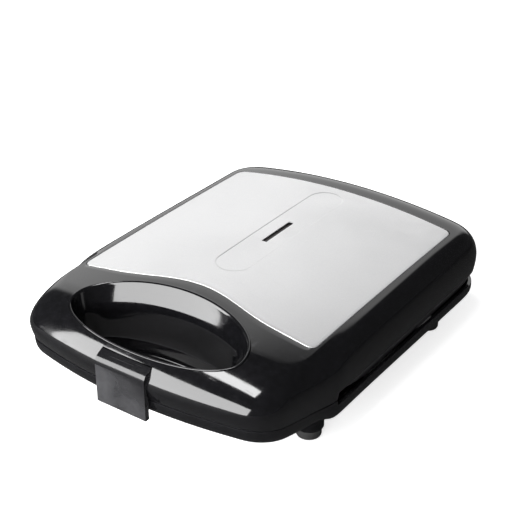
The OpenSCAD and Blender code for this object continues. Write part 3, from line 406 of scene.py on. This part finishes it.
# %% Lamps
def soft_lamp(name, aim_from, distance, size, power, centre=(0.0, -0.035, 0.06)):
    """A rectangular area lamp that faces the toaster from the direction aim_from."""
    data = bpy.data.lights.new(name, "AREA")
    data.shape, data.size, data.size_y, data.energy = "RECTANGLE", size[0], size[1], power
    lamp = bpy.data.objects.new(name, data)
    bpy.context.scene.collection.objects.link(lamp)
    back = Vector(aim_from).normalized()
    lamp.location = Vector(centre) + back * distance
    lamp.rotation_euler = (-back).to_track_quat("-Z", "Y").to_euler()


soft_lamp("key_lamp", (-0.33, -0.94, 0.35), 1.4, (2.15, 1.0), 58.0)
soft_lamp("top_lamp", (-0.05, -0.29, 1.0), 1.6, (0.85, 0.36), 13.0)

# %% [markdown]
# ## Shell outlines
#
# Both shells come from two closed curves: the widest outline of the body and the edge of the steel
# panel. Each has the same number of points, and a point of one belongs to a point of the other. They
# could be bent by hand as Bezier curves, but straight pieces and arcs keep to the sizes of the CAD
# model. They are then cut finer and blurred a little along their length, so that reflections run
# over them without a kink.

# %% Sizes in millimetres, as in the CAD model
HALF_W, NOSE_REACH, BACK_REACH, WIDE_Z, CROWN_Z = 117.5, 172.5, 131.0, 57.0, 90.3
MEET_Z, CLOSE_GAP, SKIN_Z, RIM_Z, NOSE_START, WALL = 38.3, 0.3, 46.0, 35.5, -89.0, 2.6
PANEL_SIDE, PANEL_FRONT, PANEL_BACK, PANEL_T, PANEL_GAP, PANEL_SEAT = 100.5, 98.0, 98.5, 0.8, 0.4, 0.3
HAND_REACH, HAND_Y, HAND_LEAN, HAND_TOP_Z = np.array([73.5, 40.0, 26.5]), 137.5, 5.0, 80.0
GRIP_DROP = 11.5
FEET_TO_MIDDLE = 14.7
CORNER_R, SHOULDER_R, PANEL_CORNER_R, BACK_BOW, WAVE_DEPTH, WAVE_HALF = 28, 80, 6, 2, 13, 70
FRONT_FALL, SIDE_FALL, CROWN_Y, NOSE_RISE = 0.00009, 9.5, 97, 0.107
PER_STEP = 5


# %% Curves with arcs
def unit(v):
    """The vector divided by its length."""
    return v / np.linalg.norm(v)


def arc(a, b, c, r, n):
    """Arc of radius r that rounds the corner b of the line a-b-c, as n + 1 points."""
    a, b, c = (np.array(p, float) for p in (a, b, c))
    u, v = unit(a - b), unit(c - b)
    half = math.acos(float(u @ v)) / 2
    centre = b + unit(u + v) * r / math.sin(half)
    start, end = b + u * r / math.tan(half) - centre, b + v * r / math.tan(half) - centre
    first = math.atan2(start[1], start[0])
    turn = (math.atan2(end[1], end[0]) - first + math.pi) % (2 * math.pi) - math.pi
    t = first + turn * np.linspace(0.0, 1.0, n + 1)
    return centre + r * np.stack([np.cos(t), np.sin(t)], 1)


def between(a, b, n):
    """n points spread evenly inside the line a-b."""
    t = np.linspace(0.0, 1.0, n + 2)[1:-1, None]
    return np.array(a) * (1 - t) + np.array(b) * t


def both_sides(half):
    """A half curve from the front middle to the back middle, with its mirror image."""
    return np.concatenate([half, half[-2:0:-1] * [-1, 1]])


# %% Widest outline and panel edge
NOSE_CORNER, SHOULDER = (105.0, -160.5), (HALF_W, -88.0)
nose_arc = arc((0, -NOSE_REACH), NOSE_CORNER, SHOULDER, CORNER_R, 8)
shoulder_arc = arc(NOSE_CORNER, SHOULDER, (HALF_W, BACK_REACH), SHOULDER_R, 6)
back_arc = arc(SHOULDER, (HALF_W, BACK_REACH), (0, BACK_REACH + 2 * BACK_BOW), CORNER_R, 8)
t = np.arange(8) / 8
front_bow = np.stack([nose_arc[0, 0] * t, -NOSE_REACH + (nose_arc[0, 1] + NOSE_REACH) * t**2], 1)
t = 1 - np.arange(1, 7) / 6
back_bow = np.stack([back_arc[-1, 0] * t, back_arc[-1, 1] + BACK_BOW * (1 - t**2)], 1)
outline = both_sides(np.concatenate([
    front_bow, nose_arc, between(nose_arc[-1], shoulder_arc[0], 2), shoulder_arc,
    between(shoulder_arc[-1], back_arc[0], 6), back_arc, back_bow]))

panel_arc = arc((0, -PANEL_FRONT), (PANEL_SIDE, -PANEL_FRONT), (PANEL_SIDE, 0), PANEL_CORNER_R, 8)
panel_back_arc = arc((PANEL_SIDE, 0), (PANEL_SIDE, PANEL_BACK), (0, PANEL_BACK), PANEL_CORNER_R, 8)
panel_mid = np.stack([np.full(7, PANEL_SIDE), -70.0 + 5 * np.arange(7)], 1)
x = panel_arc[0, 0] * np.arange(8) / 8
wave = np.where(x < WAVE_HALF, WAVE_DEPTH * np.cos(math.pi * x / (2 * WAVE_HALF)) ** 2, 0.0)
panel_wave = np.stack([x, -PANEL_FRONT + wave], 1)
t = 1 - np.arange(1, 7) / 6
panel_rear = np.stack([panel_back_arc[-1, 0] * t, np.full(6, PANEL_BACK)], 1)
panel_edge = both_sides(np.concatenate([
    panel_wave, panel_arc, between(panel_arc[-1], panel_mid[0], 2), panel_mid,
    between(panel_mid[-1], panel_back_arc[0], 6), panel_back_arc, panel_rear]))
print("points of the outlines:", len(outline), len(panel_edge))


# %% Finer and smoother curves
def blur_round(values, reach):
    """Each value becomes a bell-weighted mean of its neighbours along the closed curve."""
    k = np.arange(-4 * int(reach + 1), 4 * int(reach + 1) + 1)
    weights = np.exp(-0.5 * (k / reach) ** 2)
    return sum(w * np.roll(values, -s, axis=0) for w, s in zip(weights / weights.sum(), k))


def finer(values, reach):
    """Cuts each step of a closed curve into PER_STEP parts and blurs the result by reach steps."""
    n = len(values)
    at = np.arange(n * PER_STEP) / PER_STEP
    low, share = at.astype(int), (at % 1)[:, None]
    return blur_round(values[low] * (1 - share) + values[(low + 1) % n] * share, reach * PER_STEP)


CORE_LOW, CORE_HIGH, MIX_START, MIX_LENGTH = [-70, -58], [70, 90], -86, 26
SIDE_ROLL, NOSE_ROLL, NOSE_ROLL_MOST, SIDE_POWER, NOSE_POWER_LESS, EVEN = 0.85, 0.9, 40, 2.3, 0.5, 5
outline, panel_edge = finer(outline, 0.75), finer(panel_edge, 0.6)
core = blur_round(np.clip(outline, CORE_LOW, CORE_HIGH), 6)
core_far = np.linalg.norm(core - outline, axis=1)
nose_share = np.clip((MIX_START - outline[:, 1]) / MIX_LENGTH, 0, 1)
nose_share = nose_share**2 * (3 - 2 * nose_share)
edge_far = np.linalg.norm(panel_edge - outline, axis=1)
nose_roll = np.minimum(NOSE_ROLL_MOST, NOSE_ROLL * edge_far)
roll = blur_round(SIDE_ROLL * edge_far * (1 - nose_share) + nose_roll * nose_share, EVEN)
roundness = blur_round(SIDE_POWER - NOSE_POWER_LESS * nose_share, EVEN)
print("points round the shells:", len(outline))


# %% [markdown]
# ## Surfaces from rings
#
# A moulded shell could be sculpted or built from subdivided boxes. Here it is a stack of rings of
# points, so that every line of it follows a size: the next ring is further in or higher up, and
# quads join each ring to the one before. All points are worked out at once as one array with a row,
# a place along the ring, and x, y, z. Both ends close with a middle point, so the shell is closed.
# Lengths along Y are counted from the middle of the feet, as in the CAD model, and the mesh is then
# moved to the frame of the pack, whose origin is the middle of the whole length.


# %% Height of the lid and of the parting line
def top_z(p):
    """Height of the top: highest at the back middle, and falling with the square of both distances."""
    return CROWN_Z - SIDE_FALL * (p[..., 0] / 100) ** 2 - FRONT_FALL * (CROWN_Y - p[..., 1]) ** 2


def parting_z(y):
    """Height of the parting line: level beside the plates, and rising steadily forward along the nose."""
    return MEET_Z + NOSE_RISE * np.maximum(0, NOSE_START - y)


def inward(d):
    """Outline moved by d towards the core, d being one number or one per row and point."""
    share = np.minimum(d / core_far, 1)[..., None]
    return outline + (core - outline) * share


def with_z(p, z):
    """Puts a height beside x and y."""
    return np.concatenate([p, np.broadcast_to(z, p.shape[:-1])[..., None]], -1)


# %% Mesh from rings
def ring_mesh(name, rings, material, middle_low=None, middle_high=None, closed=False, sharp=40):
    """Piece whose rings are joined by quads; the ends close with a middle point, a flat face, or each other."""
    rows, n = rings.shape[:2]
    points, first = rings.reshape(-1, 3), 0
    here = np.arange(n)
    after = (here + 1) % n
    low = np.arange(rows if closed else rows - 1)[:, None] * n
    high = (low + n) % (rows * n)
    faces = np.stack([low + here, low + after, high + after, high + here], -1).reshape(-1, 4).tolist()
    if middle_low is not None:
        points = np.concatenate([points, [middle_low, middle_high]])
        last = (rows - 1) * n
        faces += np.stack([np.full(n, rows * n), after, here], -1).tolist()
        faces += np.stack([np.full(n, rows * n + 1), last + here, last + after], -1).tolist()
    elif not closed:
        faces += [here[::-1].tolist(), ((rows - 1) * n + here).tolist()]
    mesh = bpy.data.meshes.new(name)
    mesh.from_pydata(((points + [0, FEET_TO_MIDDLE, 0]) * MM).tolist(), [], faces)
    piece = bpy.data.objects.new(name, mesh)
    bpy.context.scene.collection.objects.link(piece)
    if material:
        mesh.materials.append(material)
    smooth(piece, sharp)
    return piece


def smooth(piece, sharp=40):
    """Smooth faces that keep a hard line where two of them meet at more than sharp degrees."""
    piece.data.polygons.foreach_set("use_smooth", np.ones(len(piece.data.polygons), bool))
    piece.data.set_sharp_from_angle(angle=math.radians(sharp))


# %% [markdown]
# ## Cutting
#
# The mould leaves the hand opening, the window's slot and the clip's slot free. Building the rings
# round each of them would bend the smooth surface, so they are cut with Blender's exact Boolean,
# which keeps both the surface and the crisp edge. The result is read back as a plain mesh.


# %% Cutters
def bar(name, profile, x0, x1):
    """Solid with a side view (y, z), given anticlockwise as seen from +X, from x0 to x1."""
    profile = np.array(profile, float)
    rings = np.stack([np.concatenate([np.full((len(profile), 1), x), profile], 1) for x in (x0, x1)])
    return ring_mesh(name, rings, None)


def block(name, low, high):
    """Box from its lowest to its highest corner."""
    (x0, y0, z0), (x1, y1, z1) = low, high
    return bar(name, [(y0, z0), (y1, z0), (y1, z1), (y0, z1)], x0, x1)


def d_shape(direction, reach):
    """Points of the D-shaped opening: direction is (cos, sin), reach goes to the side, back and front."""
    along = np.where(direction[..., 1] > 0, reach[..., 1], reach[..., 2])
    return np.stack([direction[..., 0] * reach[..., 0], direction[..., 1] * along - HAND_Y], -1)


def hand_wall(low_z, high_z, low_reach, high_reach, n=360):
    """Frustum with the D-shaped plan of the hand opening."""
    t = 2 * math.pi * np.arange(n) / n
    plan = np.stack([np.cos(t), np.sin(t)], 1)
    rings = [with_z(d_shape(plan, reach), z) for reach, z in ((low_reach, low_z), (high_reach, high_z))]
    return ring_mesh("hand_cutter", np.stack(rings), None)


def round_bar(name, centre, r, low_z, high_z, n=64):
    """Upright cylinder."""
    t = 2 * math.pi * np.arange(n) / n
    plan = np.stack([np.cos(t), np.sin(t)], 1) * r + np.array(centre)
    return ring_mesh(name, np.stack([with_z(plan, low_z), with_z(plan, high_z)]), None)


def back_bar(name, x, z, r, y0, y1, n=64):
    """Cylinder along Y."""
    t = 2 * math.pi * np.arange(n) / n
    ring = np.stack([x + r * np.sin(t), np.zeros(n), z + r * np.cos(t)], 1)
    return ring_mesh(name, np.stack([ring + [0, y0, 0], ring + [0, y1, 0]]), None)


def carve(piece, tools, operation="DIFFERENCE", sharp=40):
    """Applies each tool to the piece with an exact Boolean, and removes the tools."""
    for tool in tools:
        change = piece.modifiers.new("carve", "BOOLEAN")
        change.object, change.operation, change.solver = tool, operation, "EXACT"
    cut_mesh = bpy.data.meshes.new_from_object(piece.evaluated_get(bpy.context.evaluated_depsgraph_get()))
    piece.modifiers.clear()
    piece.data = cut_mesh
    for tool in tools:
        bpy.data.objects.remove(tool)
    smooth(piece, sharp)
    print(piece.name, "after carving:", len(piece.data.polygons), "faces")


def lid_hand(z):
    """Reaches of the hand opening in the lid at a height, which lean in towards the parting line."""
    lean = (HAND_TOP_Z - z) * HAND_LEAN / (HAND_TOP_Z - MEET_Z)
    return HAND_REACH - np.asarray(lean)[..., None]


BASE_HAND_LOW, BASE_HAND_H, LOW_LESS, FLARE = MEET_Z - 20, 34, [-7, -8, -8], [9, 10, 10]


def base_hand(z):
    """Reaches of the hand opening in the base at a height: they grow steadily with the height."""
    share = np.asarray((z - BASE_HAND_LOW) / BASE_HAND_H)[..., None]
    return HAND_REACH - HAND_LEAN + LOW_LESS + share * FLARE


# %% [markdown]
# ## Latch space
#
# The clip sits in a slot in the front of the nose. The slot ends in an arc about the pivot, a little
# wider than the clip reaches, so the clip can swing out.

# %% Latch space
LATCH_Y, LATCH_Z, LATCH_R, BOSS_R = -NOSE_REACH + 6.9, 62.0, 8.3, 2.8
LATCH_HALF_W, LATCH_T, LATCH_PROUD = 21.0, 2.0, 1.4
SLOT_R, SLOT_BACK = LATCH_R + CLOSE_GAP, -NOSE_REACH + LATCH_T - LATCH_PROUD + 0.5


def latch_slot():
    """Slot of the clip: a tall box in front, with an arc about the pivot at its top."""
    start = math.atan2(-math.sqrt(SLOT_R**2 - (SLOT_BACK - LATCH_Y) ** 2), SLOT_BACK - LATCH_Y)
    t = np.linspace(start, math.pi, 48)
    curve = np.stack([LATCH_Y + SLOT_R * np.cos(t), LATCH_Z + SLOT_R * np.sin(t)], 1)
    front = [(-NOSE_REACH - 10, LATCH_Z), (-NOSE_REACH - 10, MEET_Z - 10), (SLOT_BACK, MEET_Z - 10)]
    half_w = LATCH_HALF_W + CLOSE_GAP
    return bar("latch_slot", np.concatenate([curve, front]), -half_w, half_w)


# %% [markdown]
# ## Lid cover
#
# The lid's cover is one polished black moulding, and its soft roll gives the toaster its look. From
# its lower edge it widens to its widest line, rolls over and runs level to the steel panel. A Bevel
# would give a round edge of one radius. The roll is a superellipse instead: its two shares, towards
# the edge and upward, are powers of the cosine and sine of one angle, and the power changes from the
# sides to the nose.

# %% Lid cover: outer surface
LOW_INSET, LOW_POWER, SHORT_OF_EDGE = 3, 1.6, 0.012
f = np.linspace(1, 0, 12)[:, None]
low_edge = inward(LOW_INSET * f**LOW_POWER)
low_rings = with_z(low_edge, WIDE_Z * (1 - f) + (parting_z(low_edge[..., 1]) + CLOSE_GAP / 2) * f)


def rolled(angle, inside):
    """Rolled edge: w is the share left to the widest line, h that of the rise; inside is the wall depth."""
    w, h = np.cos(angle) ** (2 / roundness), np.sin(angle) ** (2 / roundness)
    share = (roll * (1 - w) / edge_far)[..., None]
    p = inward(inside) * (1 - share) + panel_edge * share
    return with_z(p, WIDE_Z * (1 - h) + (top_z(p) - inside) * h)


def shelf(s, inside):
    """Level part between the rolled edge and the panel, s from 0 to 1."""
    share = (roll / edge_far * (1 - s) + s)[..., None]
    p = inward(inside) * (1 - share) + panel_edge * share
    return with_z(p, top_z(p) - inside)


def under_panel(s, depth):
    """From the panel edge, s = 0, to the middle, s = 1, at a depth below the top."""
    p = panel_edge * (1 - s)[..., None]
    return with_z(p, top_z(p) - depth)


angles = np.linspace(0, math.pi / 2, 34)[1:, None]
shelf_steps = np.linspace(0, 1, 7)[1:, None]
shelf_steps[-1] -= SHORT_OF_EDGE
recess, EDGE_BREAK, at_edge = PANEL_T + PANEL_SEAT, 0.15, np.zeros((1, 1))
outer_rings = np.concatenate([low_rings, rolled(angles, 0.0), shelf(shelf_steps, 0.0),
                              under_panel(at_edge, EDGE_BREAK), under_panel(at_edge, recess),
                              under_panel(np.linspace(0, 0.9, 8)[1:, None], recess)])
print("outer rings:", outer_rings.shape)

# %% Lid cover: inner surface and cuts
INSIDE_TOP, MIDDLE_Z = 4.0, float(top_z(np.zeros(2)))
f = np.linspace(0, 1, 6)[:, None]
inner_low = inward(LOW_INSET * f + WALL)
inner_rings = np.concatenate([
    under_panel(np.linspace(0.9, 0.1, 5)[:, None], INSIDE_TOP),
    shelf(np.array([[1.0]]), INSIDE_TOP), shelf(np.array([[0.5]]), (INSIDE_TOP + WALL) / 2),
    rolled(np.linspace(math.pi / 2, 0, 10)[:-1, None], WALL),
    with_z(inner_low, WIDE_Z * (1 - f) + (parting_z(inner_low[..., 1]) + CLOSE_GAP / 2) * f)])
lid_cover = ring_mesh("lid_cover", np.concatenate([inner_rings, outer_rings]), black_gloss,
                      [0, 0, MIDDLE_Z - INSIDE_TOP], [0, 0, MIDDLE_Z - recess])
WINDOW_HALF_W, WINDOW_FRONT, WINDOW_BACK = 2.2, -10.0, 27.0
carve(lid_cover, [hand_wall(30, 92, lid_hand(30) + CLOSE_GAP, lid_hand(92) + CLOSE_GAP),
                  block("side_cutter", (-HALF_W - 2, NOSE_START, 30), (HALF_W + 2, 220, SKIN_Z)), latch_slot(),
                  block("window_cutter", (-WINDOW_HALF_W - 0.3, WINDOW_FRONT - 0.3, 70),
                        (WINDOW_HALF_W + 0.3, WINDOW_BACK + 0.3, 100))])

# %% [markdown]
# ## Steel panel
#
# The real panel is a thin stamped sheet, glued or clipped on the crown of the lid. A flat plate with
# a Solidify would lose the crown, so its rings follow the height of the lid and shrink from the wavy
# edge to the middle. The rim is turned down in a small radius, which catches a thin line of light.

# %% Steel panel
def sheet(s, depth):
    """Ring of the sheet, s = 0 at its own edge, at a depth below the top."""
    p = panel_edge * (1 - PANEL_GAP / PANEL_SIDE) * (1 - s)[..., None]
    return with_z(p, top_z(p) - depth)


rim = np.linspace(0, math.pi / 2, 5)[:, None]
panel_rings = np.concatenate([
    sheet(np.linspace(0.9, 0, 10)[:, None], PANEL_T),
    sheet(0.005 * (1 - np.cos(rim)), 0.5 * (1 - np.sin(rim))),
    sheet(np.linspace(0, 0.94, 34)[1:, None], 0.0)])
steel_panel = ring_mesh("steel_panel", panel_rings, lid_steel, [0, 0, MIDDLE_Z - PANEL_T], [0, 0, MIDDLE_Z])
carve(steel_panel, [block("window_cutter", (-WINDOW_HALF_W, WINDOW_FRONT, 70),
                          (WINDOW_HALF_W, WINDOW_BACK, 100))])


# %% [markdown]
# ## Liner of the hand opening
#
# A glossy ring stands in the opening and hides the cut edge, with a thin collar just above the lid.
# Its back wall leans in towards the middle of its height, so it mirrors the lamp over the front bar.
# The collar could be a bevelled copy of the cut edge, but the cut has no even points. So the height
# of the lid is worked out at each angle: the point's line from outline to panel edge is found first,
# then its share of the roll gives the height.

# %% Height of the lid over a point
def lid_height(p):
    """Height of the lid cover over points (m, 2): the ruled line through each is found by a change of side."""
    across = panel_edge - outline
    away = p[:, None, :] - outline[None]
    side = away[..., 0] * across[:, 1] - away[..., 1] * across[:, 0]
    share = (away * across).sum(-1) / edge_far**2
    nxt = np.roll(side, -1, axis=1)
    crossing = (side * nxt <= 0) & (share > -0.05) & (share < 1.05)
    i = crossing.argmax(1)
    row = np.arange(len(p))
    t = side[row, i] / (side[row, i] - nxt[row, i])
    k = share[row, i] * (1 - t) + np.roll(share, -1, axis=1)[row, i] * t
    r, n, far = (v[i] * (1 - t) + np.roll(v, -1)[i] * t for v in (roll, roundness, edge_far))
    w = np.clip(1 - k * far / r, 0, 1)
    h = (1 - w**n) ** (1 / n)
    return WIDE_Z * (1 - h) + top_z(p) * h


LINER_PROUD, RIM_POINTS = 0.8, 420
round_hand = 2 * math.pi * np.arange(RIM_POINTS) / RIM_POINTS
plan = np.stack([np.cos(round_hand), np.sin(round_hand)], 1)
rim_z = np.full(RIM_POINTS, 78.0)
for _ in range(6):
    rim_z = lid_height(d_shape(plan, lid_hand(rim_z)))
print("lid height at the opening, front and back:", round(float(rim_z[315]), 1), round(float(rim_z[105]), 1))

# %% Liner
collar_top = blur_round(rim_z, 3) + LINER_PROUD
foot_z = parting_z(d_shape(plan, HAND_REACH - HAND_LEAN)[:, 1]) + CLOSE_GAP / 2
lip = np.linspace(0, math.pi, 9)
LIP_R, LEAN, LEAN_FULL, LEAN_END = 0.9, 5.0, 17, 42
drop = np.concatenate([[1.0, 0.75, 0.5, 0.25, 0.08, 0.03], np.zeros(9), [0.03], np.linspace(0.07, 1.0, 22)])
turned = np.concatenate([np.zeros(6), LIP_R * (1 - np.cos(lip)), [2 * LIP_R], np.full(22, 2 * LIP_R)])
rise = np.concatenate([np.full(6, -LIP_R), LIP_R * (np.sin(lip) - 1), np.full(23, -LIP_R)])
height = (collar_top + rise[:, None]) * (1 - drop[:, None]) + foot_z * drop[:, None]
depth = collar_top - height
backness = (1 + plan[:, 1]) / 2
inner_side = (turned > 1.7)[:, None]
lean_share = np.minimum(depth / LEAN_FULL, np.clip((LEAN_END - depth) / (LEAN_END - LEAN_FULL), 0, 1))
lean = LEAN * lean_share * inner_side * backness
lean = sum(np.roll(lean, s, axis=0) for s in (-1, 0, 1)) / 3 * inner_side
reach = lid_hand(height) - (turned[:, None] + lean)[..., None]
liner_rings = with_z(d_shape(plan, reach), height)
hand_liner = ring_mesh("hand_liner", liner_rings, black_gloss, closed=True, sharp=50)
print("liner rings:", liner_rings.shape)

# %% [markdown]
# ## Base cover
#
# The base is one moulding too, a tub under the plates and a thin channel under the nose. Two solids
# joined by a Boolean would meet in a hard line. So ten rows of height and inset describe each of the
# two, the rows are mixed where the nose begins, and the stack is made finer and blurred across the
# rows. Bosses for feet, screws, hinges and the cord are added afterwards, as they stand out of it.

# %% Base cover: rows
FLOOR_Z = 9.0
TUB_ROWS = np.array([[MEET_Z, 2.5], [33, 1.4], [28, 2], [23, 6], [18, 11], [14, 16.5], [11, 23], [FLOOR_Z, 30],
                     [FLOOR_Z, 33], [FLOOR_Z, 36]])
NOSE_ROWS = np.array([[0, 2.5], [4.5, 2.7], [8, 3.8], [10.3, 6], [GRIP_DROP, 9.5], [GRIP_DROP, 40],
                      [GRIP_DROP, 78], [GRIP_DROP, 84], [21, 87], [31, 92]])
ROW_STEPS, ROW_BLUR, PAD, CORE_FAR_FRONT = 6, 2.6, 9, 114.5


def base_rows(inside):
    """Rows of the base from rim to floor: heights and insets of tub and nose mixed by the nose share."""
    k = np.arange(10)[:, None]
    reach = np.where(k > 4, core_far / CORE_FAR_FRONT, 1.0)
    inset = TUB_ROWS[:, 1:] * (1 - nose_share) + NOSE_ROWS[:, 1:] * reach * nose_share + inside
    p = inward(inset)
    nose_z = np.maximum(FLOOR_Z, parting_z(p[..., 1]) - NOSE_ROWS[:, :1])
    z = TUB_ROWS[:, :1] * (1 - nose_share) + nose_z * nose_share - CLOSE_GAP / 2
    return with_z(p, z + np.where(k > 0, inside * np.minimum(k / 5, 1), 0.0))


def softened(rows):
    """Rows cut finer and blurred across the rows; both ends stay where they are."""
    at = np.linspace(0, len(rows) - 1, (len(rows) - 1) * ROW_STEPS + 1)
    low = np.minimum(at.astype(int), len(rows) - 2)
    share = (at - low)[:, None, None]
    fine = rows[low] * (1 - share) + rows[low + 1] * share
    wide = np.concatenate([2 * fine[:1] - fine[PAD:0:-1], fine, 2 * fine[-1:] - fine[-2:-PAD - 2:-1]])
    k = np.arange(-PAD, PAD + 1)
    weights = np.exp(-0.5 * (k / ROW_BLUR) ** 2)
    weights /= weights.sum()
    return sum(w * wide[PAD + s:PAD + s + len(fine)] for w, s in zip(weights, k))


base_rings = np.concatenate([softened(base_rows(0.0))[::-1], softened(base_rows(WALL))[::2]])
UNDERSIDE = FLOOR_Z - CLOSE_GAP / 2
base_cover = ring_mesh("base_cover", base_rings, black_gloss, [0, 10, UNDERSIDE], [0, 10, UNDERSIDE + WALL])
print("base rings:", base_rings.shape)

# %% Base cover: bosses and cuts
FOOT_X, FOOT_Y, FOOT_BOSS_R, SCREW_BOSS_R, SCREW_HOLE_R = 91.0, 86.0, 10.5, 5.5, 3.6
HINGE_X, PAD_HALF_W, BRACKET_FACE, PAD_LOW = 70.0, 15.5, 131.5, 21
INLET_X, INLET_Z, INLET_BOSS_R, INLET_R, INLET_FACE = 30.0, 21.0, 10.0, 6.5, 130.0
SCREW_PLACES = ((-60, -67), (60, -67), (-80, 112), (80, 112))
carve(base_cover, [hand_wall(18.3, 60, base_hand(18.3) + WALL, base_hand(60) + WALL),
                   block("rim_cutter", (-HALF_W - 2, NOSE_START, RIM_Z), (HALF_W + 2, 220, 60)), latch_slot()])
carve(base_cover, [round_bar("foot_boss", (x, y), FOOT_BOSS_R, 8.0, top)
                   for x in (-FOOT_X, FOOT_X) for y, top in ((-FOOT_Y, 30.0), (FOOT_Y, 15.5))]
      + [round_bar("screw_boss", (x, y), SCREW_BOSS_R, UNDERSIDE, 21.0) for x, y in SCREW_PLACES]
      + [back_bar("inlet_boss", INLET_X, INLET_Z, INLET_BOSS_R, 114.0, INLET_FACE)]
      + [block("hinge_pad", (x - PAD_HALF_W, 124, PAD_LOW), (x + PAD_HALF_W, BRACKET_FACE, RIM_Z))
         for x in (-HINGE_X, HINGE_X)], "UNION")
carve(base_cover, [round_bar("screw_hole", (x, y), SCREW_HOLE_R, 0.0, 12.0) for x, y in SCREW_PLACES]
      + [block("bracket_seat", (x - PAD_HALF_W, BRACKET_FACE, PAD_LOW), (x + PAD_HALF_W, 142, 57))
         for x in (-HINGE_X, HINGE_X)]
      + [back_bar("inlet_seat", INLET_X, INLET_Z, INLET_BOSS_R, INLET_FACE, 140.0),
         back_bar("inlet_hole", INLET_X, INLET_Z, INLET_R, 100.0, 140.0)])

# %% [markdown]
# The wall of the opening in the base is a ring of its own, so that its edges can be finer than the
# cut. It stands in the hole of the base cover and ends below in a small rounded ledge.

# %% Wall of the hand opening in the base
wall_top = parting_z(d_shape(plan, base_hand(MEET_Z))[:, 1]) - CLOSE_GAP / 2
wall_low = wall_top - GRIP_DROP
turn = np.linspace(0, math.pi / 2, 9)
LEDGE_R, LEDGE_T = 4.5, 0.9
ledge = np.stack([-LEDGE_R * (1 - np.sin(turn)), (LEDGE_T + LEDGE_R * (1 - np.cos(turn))) / GRIP_DROP], 1)
profile = np.concatenate([[[WALL, 1.0], [WALL, 0.5], [WALL, 0.0], [-LEDGE_R + 0.4, 0.0], [-LEDGE_R, 0.04]],
                          ledge, [[0.0, 0.7], [0.0, 1.0]]])
level = wall_low + (wall_top - wall_low) * profile[:, 1:]
reach = base_hand(level) + profile[:, :1, None]
hand_ring = ring_mesh("hand_ring", with_z(d_shape(plan, reach), level), black_gloss, closed=True, sharp=50)
print("ring of the base opening:", len(hand_ring.data.polygons), "faces")

# %% [markdown]
# ## Clip
#
# The clip holds lid and base together. It is one moulded strip: a sloping top that rolls over into a
# flat face, and a short hook under the handle. It is the same all along its width, so its side view
# is drawn once about the pivot and carried along X. A Bevel rounds every edge, as its mould does.

# %% Clip
def rounded(line, rounds=3):
    """Cuts the corners of an open line: each step keeps its quarter points, and the two ends stay."""
    line = np.array(line, float)
    for _ in range(rounds):
        a, b = line[:-1], line[1:]
        middle = np.stack([0.75 * a + 0.25 * b, 0.25 * a + 0.75 * b], 1).reshape(-1, 2)
        line = np.concatenate([line[:1], middle, line[-1:]])
    return line


HOOK_Z, HOOK_T, THICK = float(parting_z(LATCH_Y)) - GRIP_DROP - CLOSE_GAP - 2.0 - LATCH_Z, 2.0, 3.6
face = -NOSE_REACH - LATCH_PROUD - LATCH_Y
boss = np.radians(np.linspace(90, 0, 6))
side_view = np.concatenate([
    [(face, HOOK_Z), (face + 3.8, HOOK_Z), (face + 3.8, HOOK_Z + HOOK_T), (face + THICK, HOOK_Z + HOOK_T + 0.2),
     (face + THICK, -14.5), (face + LATCH_T, -8.5), (face + LATCH_T, -BOSS_R), (0, -BOSS_R)],
    np.stack([BOSS_R * np.cos(boss), -BOSS_R * np.sin(boss)], 1)[1:],
    rounded([(-0.3, LATCH_R), (-2.0, 7.5), (-5.0, 5.9), (-6.3, 5.0), (-7.4, 3.5), (-8.1, 1.8), (face, 0.0),
             (face, -BOSS_R)])])
latch_clip = bar("latch_clip", side_view + [LATCH_Y, LATCH_Z], -LATCH_HALF_W, LATCH_HALF_W)
latch_clip.data.materials.append(clip_gloss)
bevel = latch_clip.modifiers.new("edges", "BEVEL")
bevel.width, bevel.segments, bevel.limit_method, bevel.angle_limit = 0.45 * MM, 3, "ANGLE", math.radians(40)
print("clip from", round(HOOK_Z + LATCH_Z, 1), "to", LATCH_Z + LATCH_R, "mm")

# %% [markdown]
# ## Finishes of the CAD pieces
#
# Plates, frames, feet, screws, pins, heaters and lamps keep their exact meshes, because they are
# small, matt or out of sight. Each gets the finish of its slot in the record.

# %% Finishes of the CAD pieces
slot_finish = {"black_gloss": black_gloss, "black_satin": black_satin, "lid_steel": lid_steel,
               "nonstick": nonstick, "heater_tube": heater_tube, "tray_metal": tray_metal,
               "screw_steel": screw_steel, "ceramic_white": ceramic_white, "natural_plastic": natural_plastic,
               "rubber_black": rubber_black, "window_dark": window_dark, "lamp_red": lamp_red,
               "lamp_green": lamp_green}
slot_of = {part["node"]: part["material_slot"] for part in frame["record"]["subparts"]}
for name, node in frame["nodes"].items():
    node.data.materials.clear()
    node.data.materials.append(slot_finish[slot_of[name]])
print("finished nodes:", len(frame["nodes"]))

# %% [markdown]
# ## Joining the pieces to the bodies
#
# Each new piece stands for its CAD solid, which is hidden, and rides on a body, so that it moves
# with the lid or the clip.

# %% Joining the pieces to the bodies
for piece, body, slot_name, nodes in ((lid_cover, "lid", "black_gloss", ["lid_shell"]),
                                      (steel_panel, "lid", "lid_steel", ["top_panel"]),
                                      (hand_liner, "lid", "black_gloss", ["grip_liner"]),
                                      (base_cover, "base", "black_gloss", ["base_shell"]),
                                      (hand_ring, "base", "black_gloss", ["base_shell"]),
                                      (latch_clip, "latch", "black_gloss", ["latch"])):
    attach(piece, body)
    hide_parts(*nodes)
print("pieces joined to the bodies")
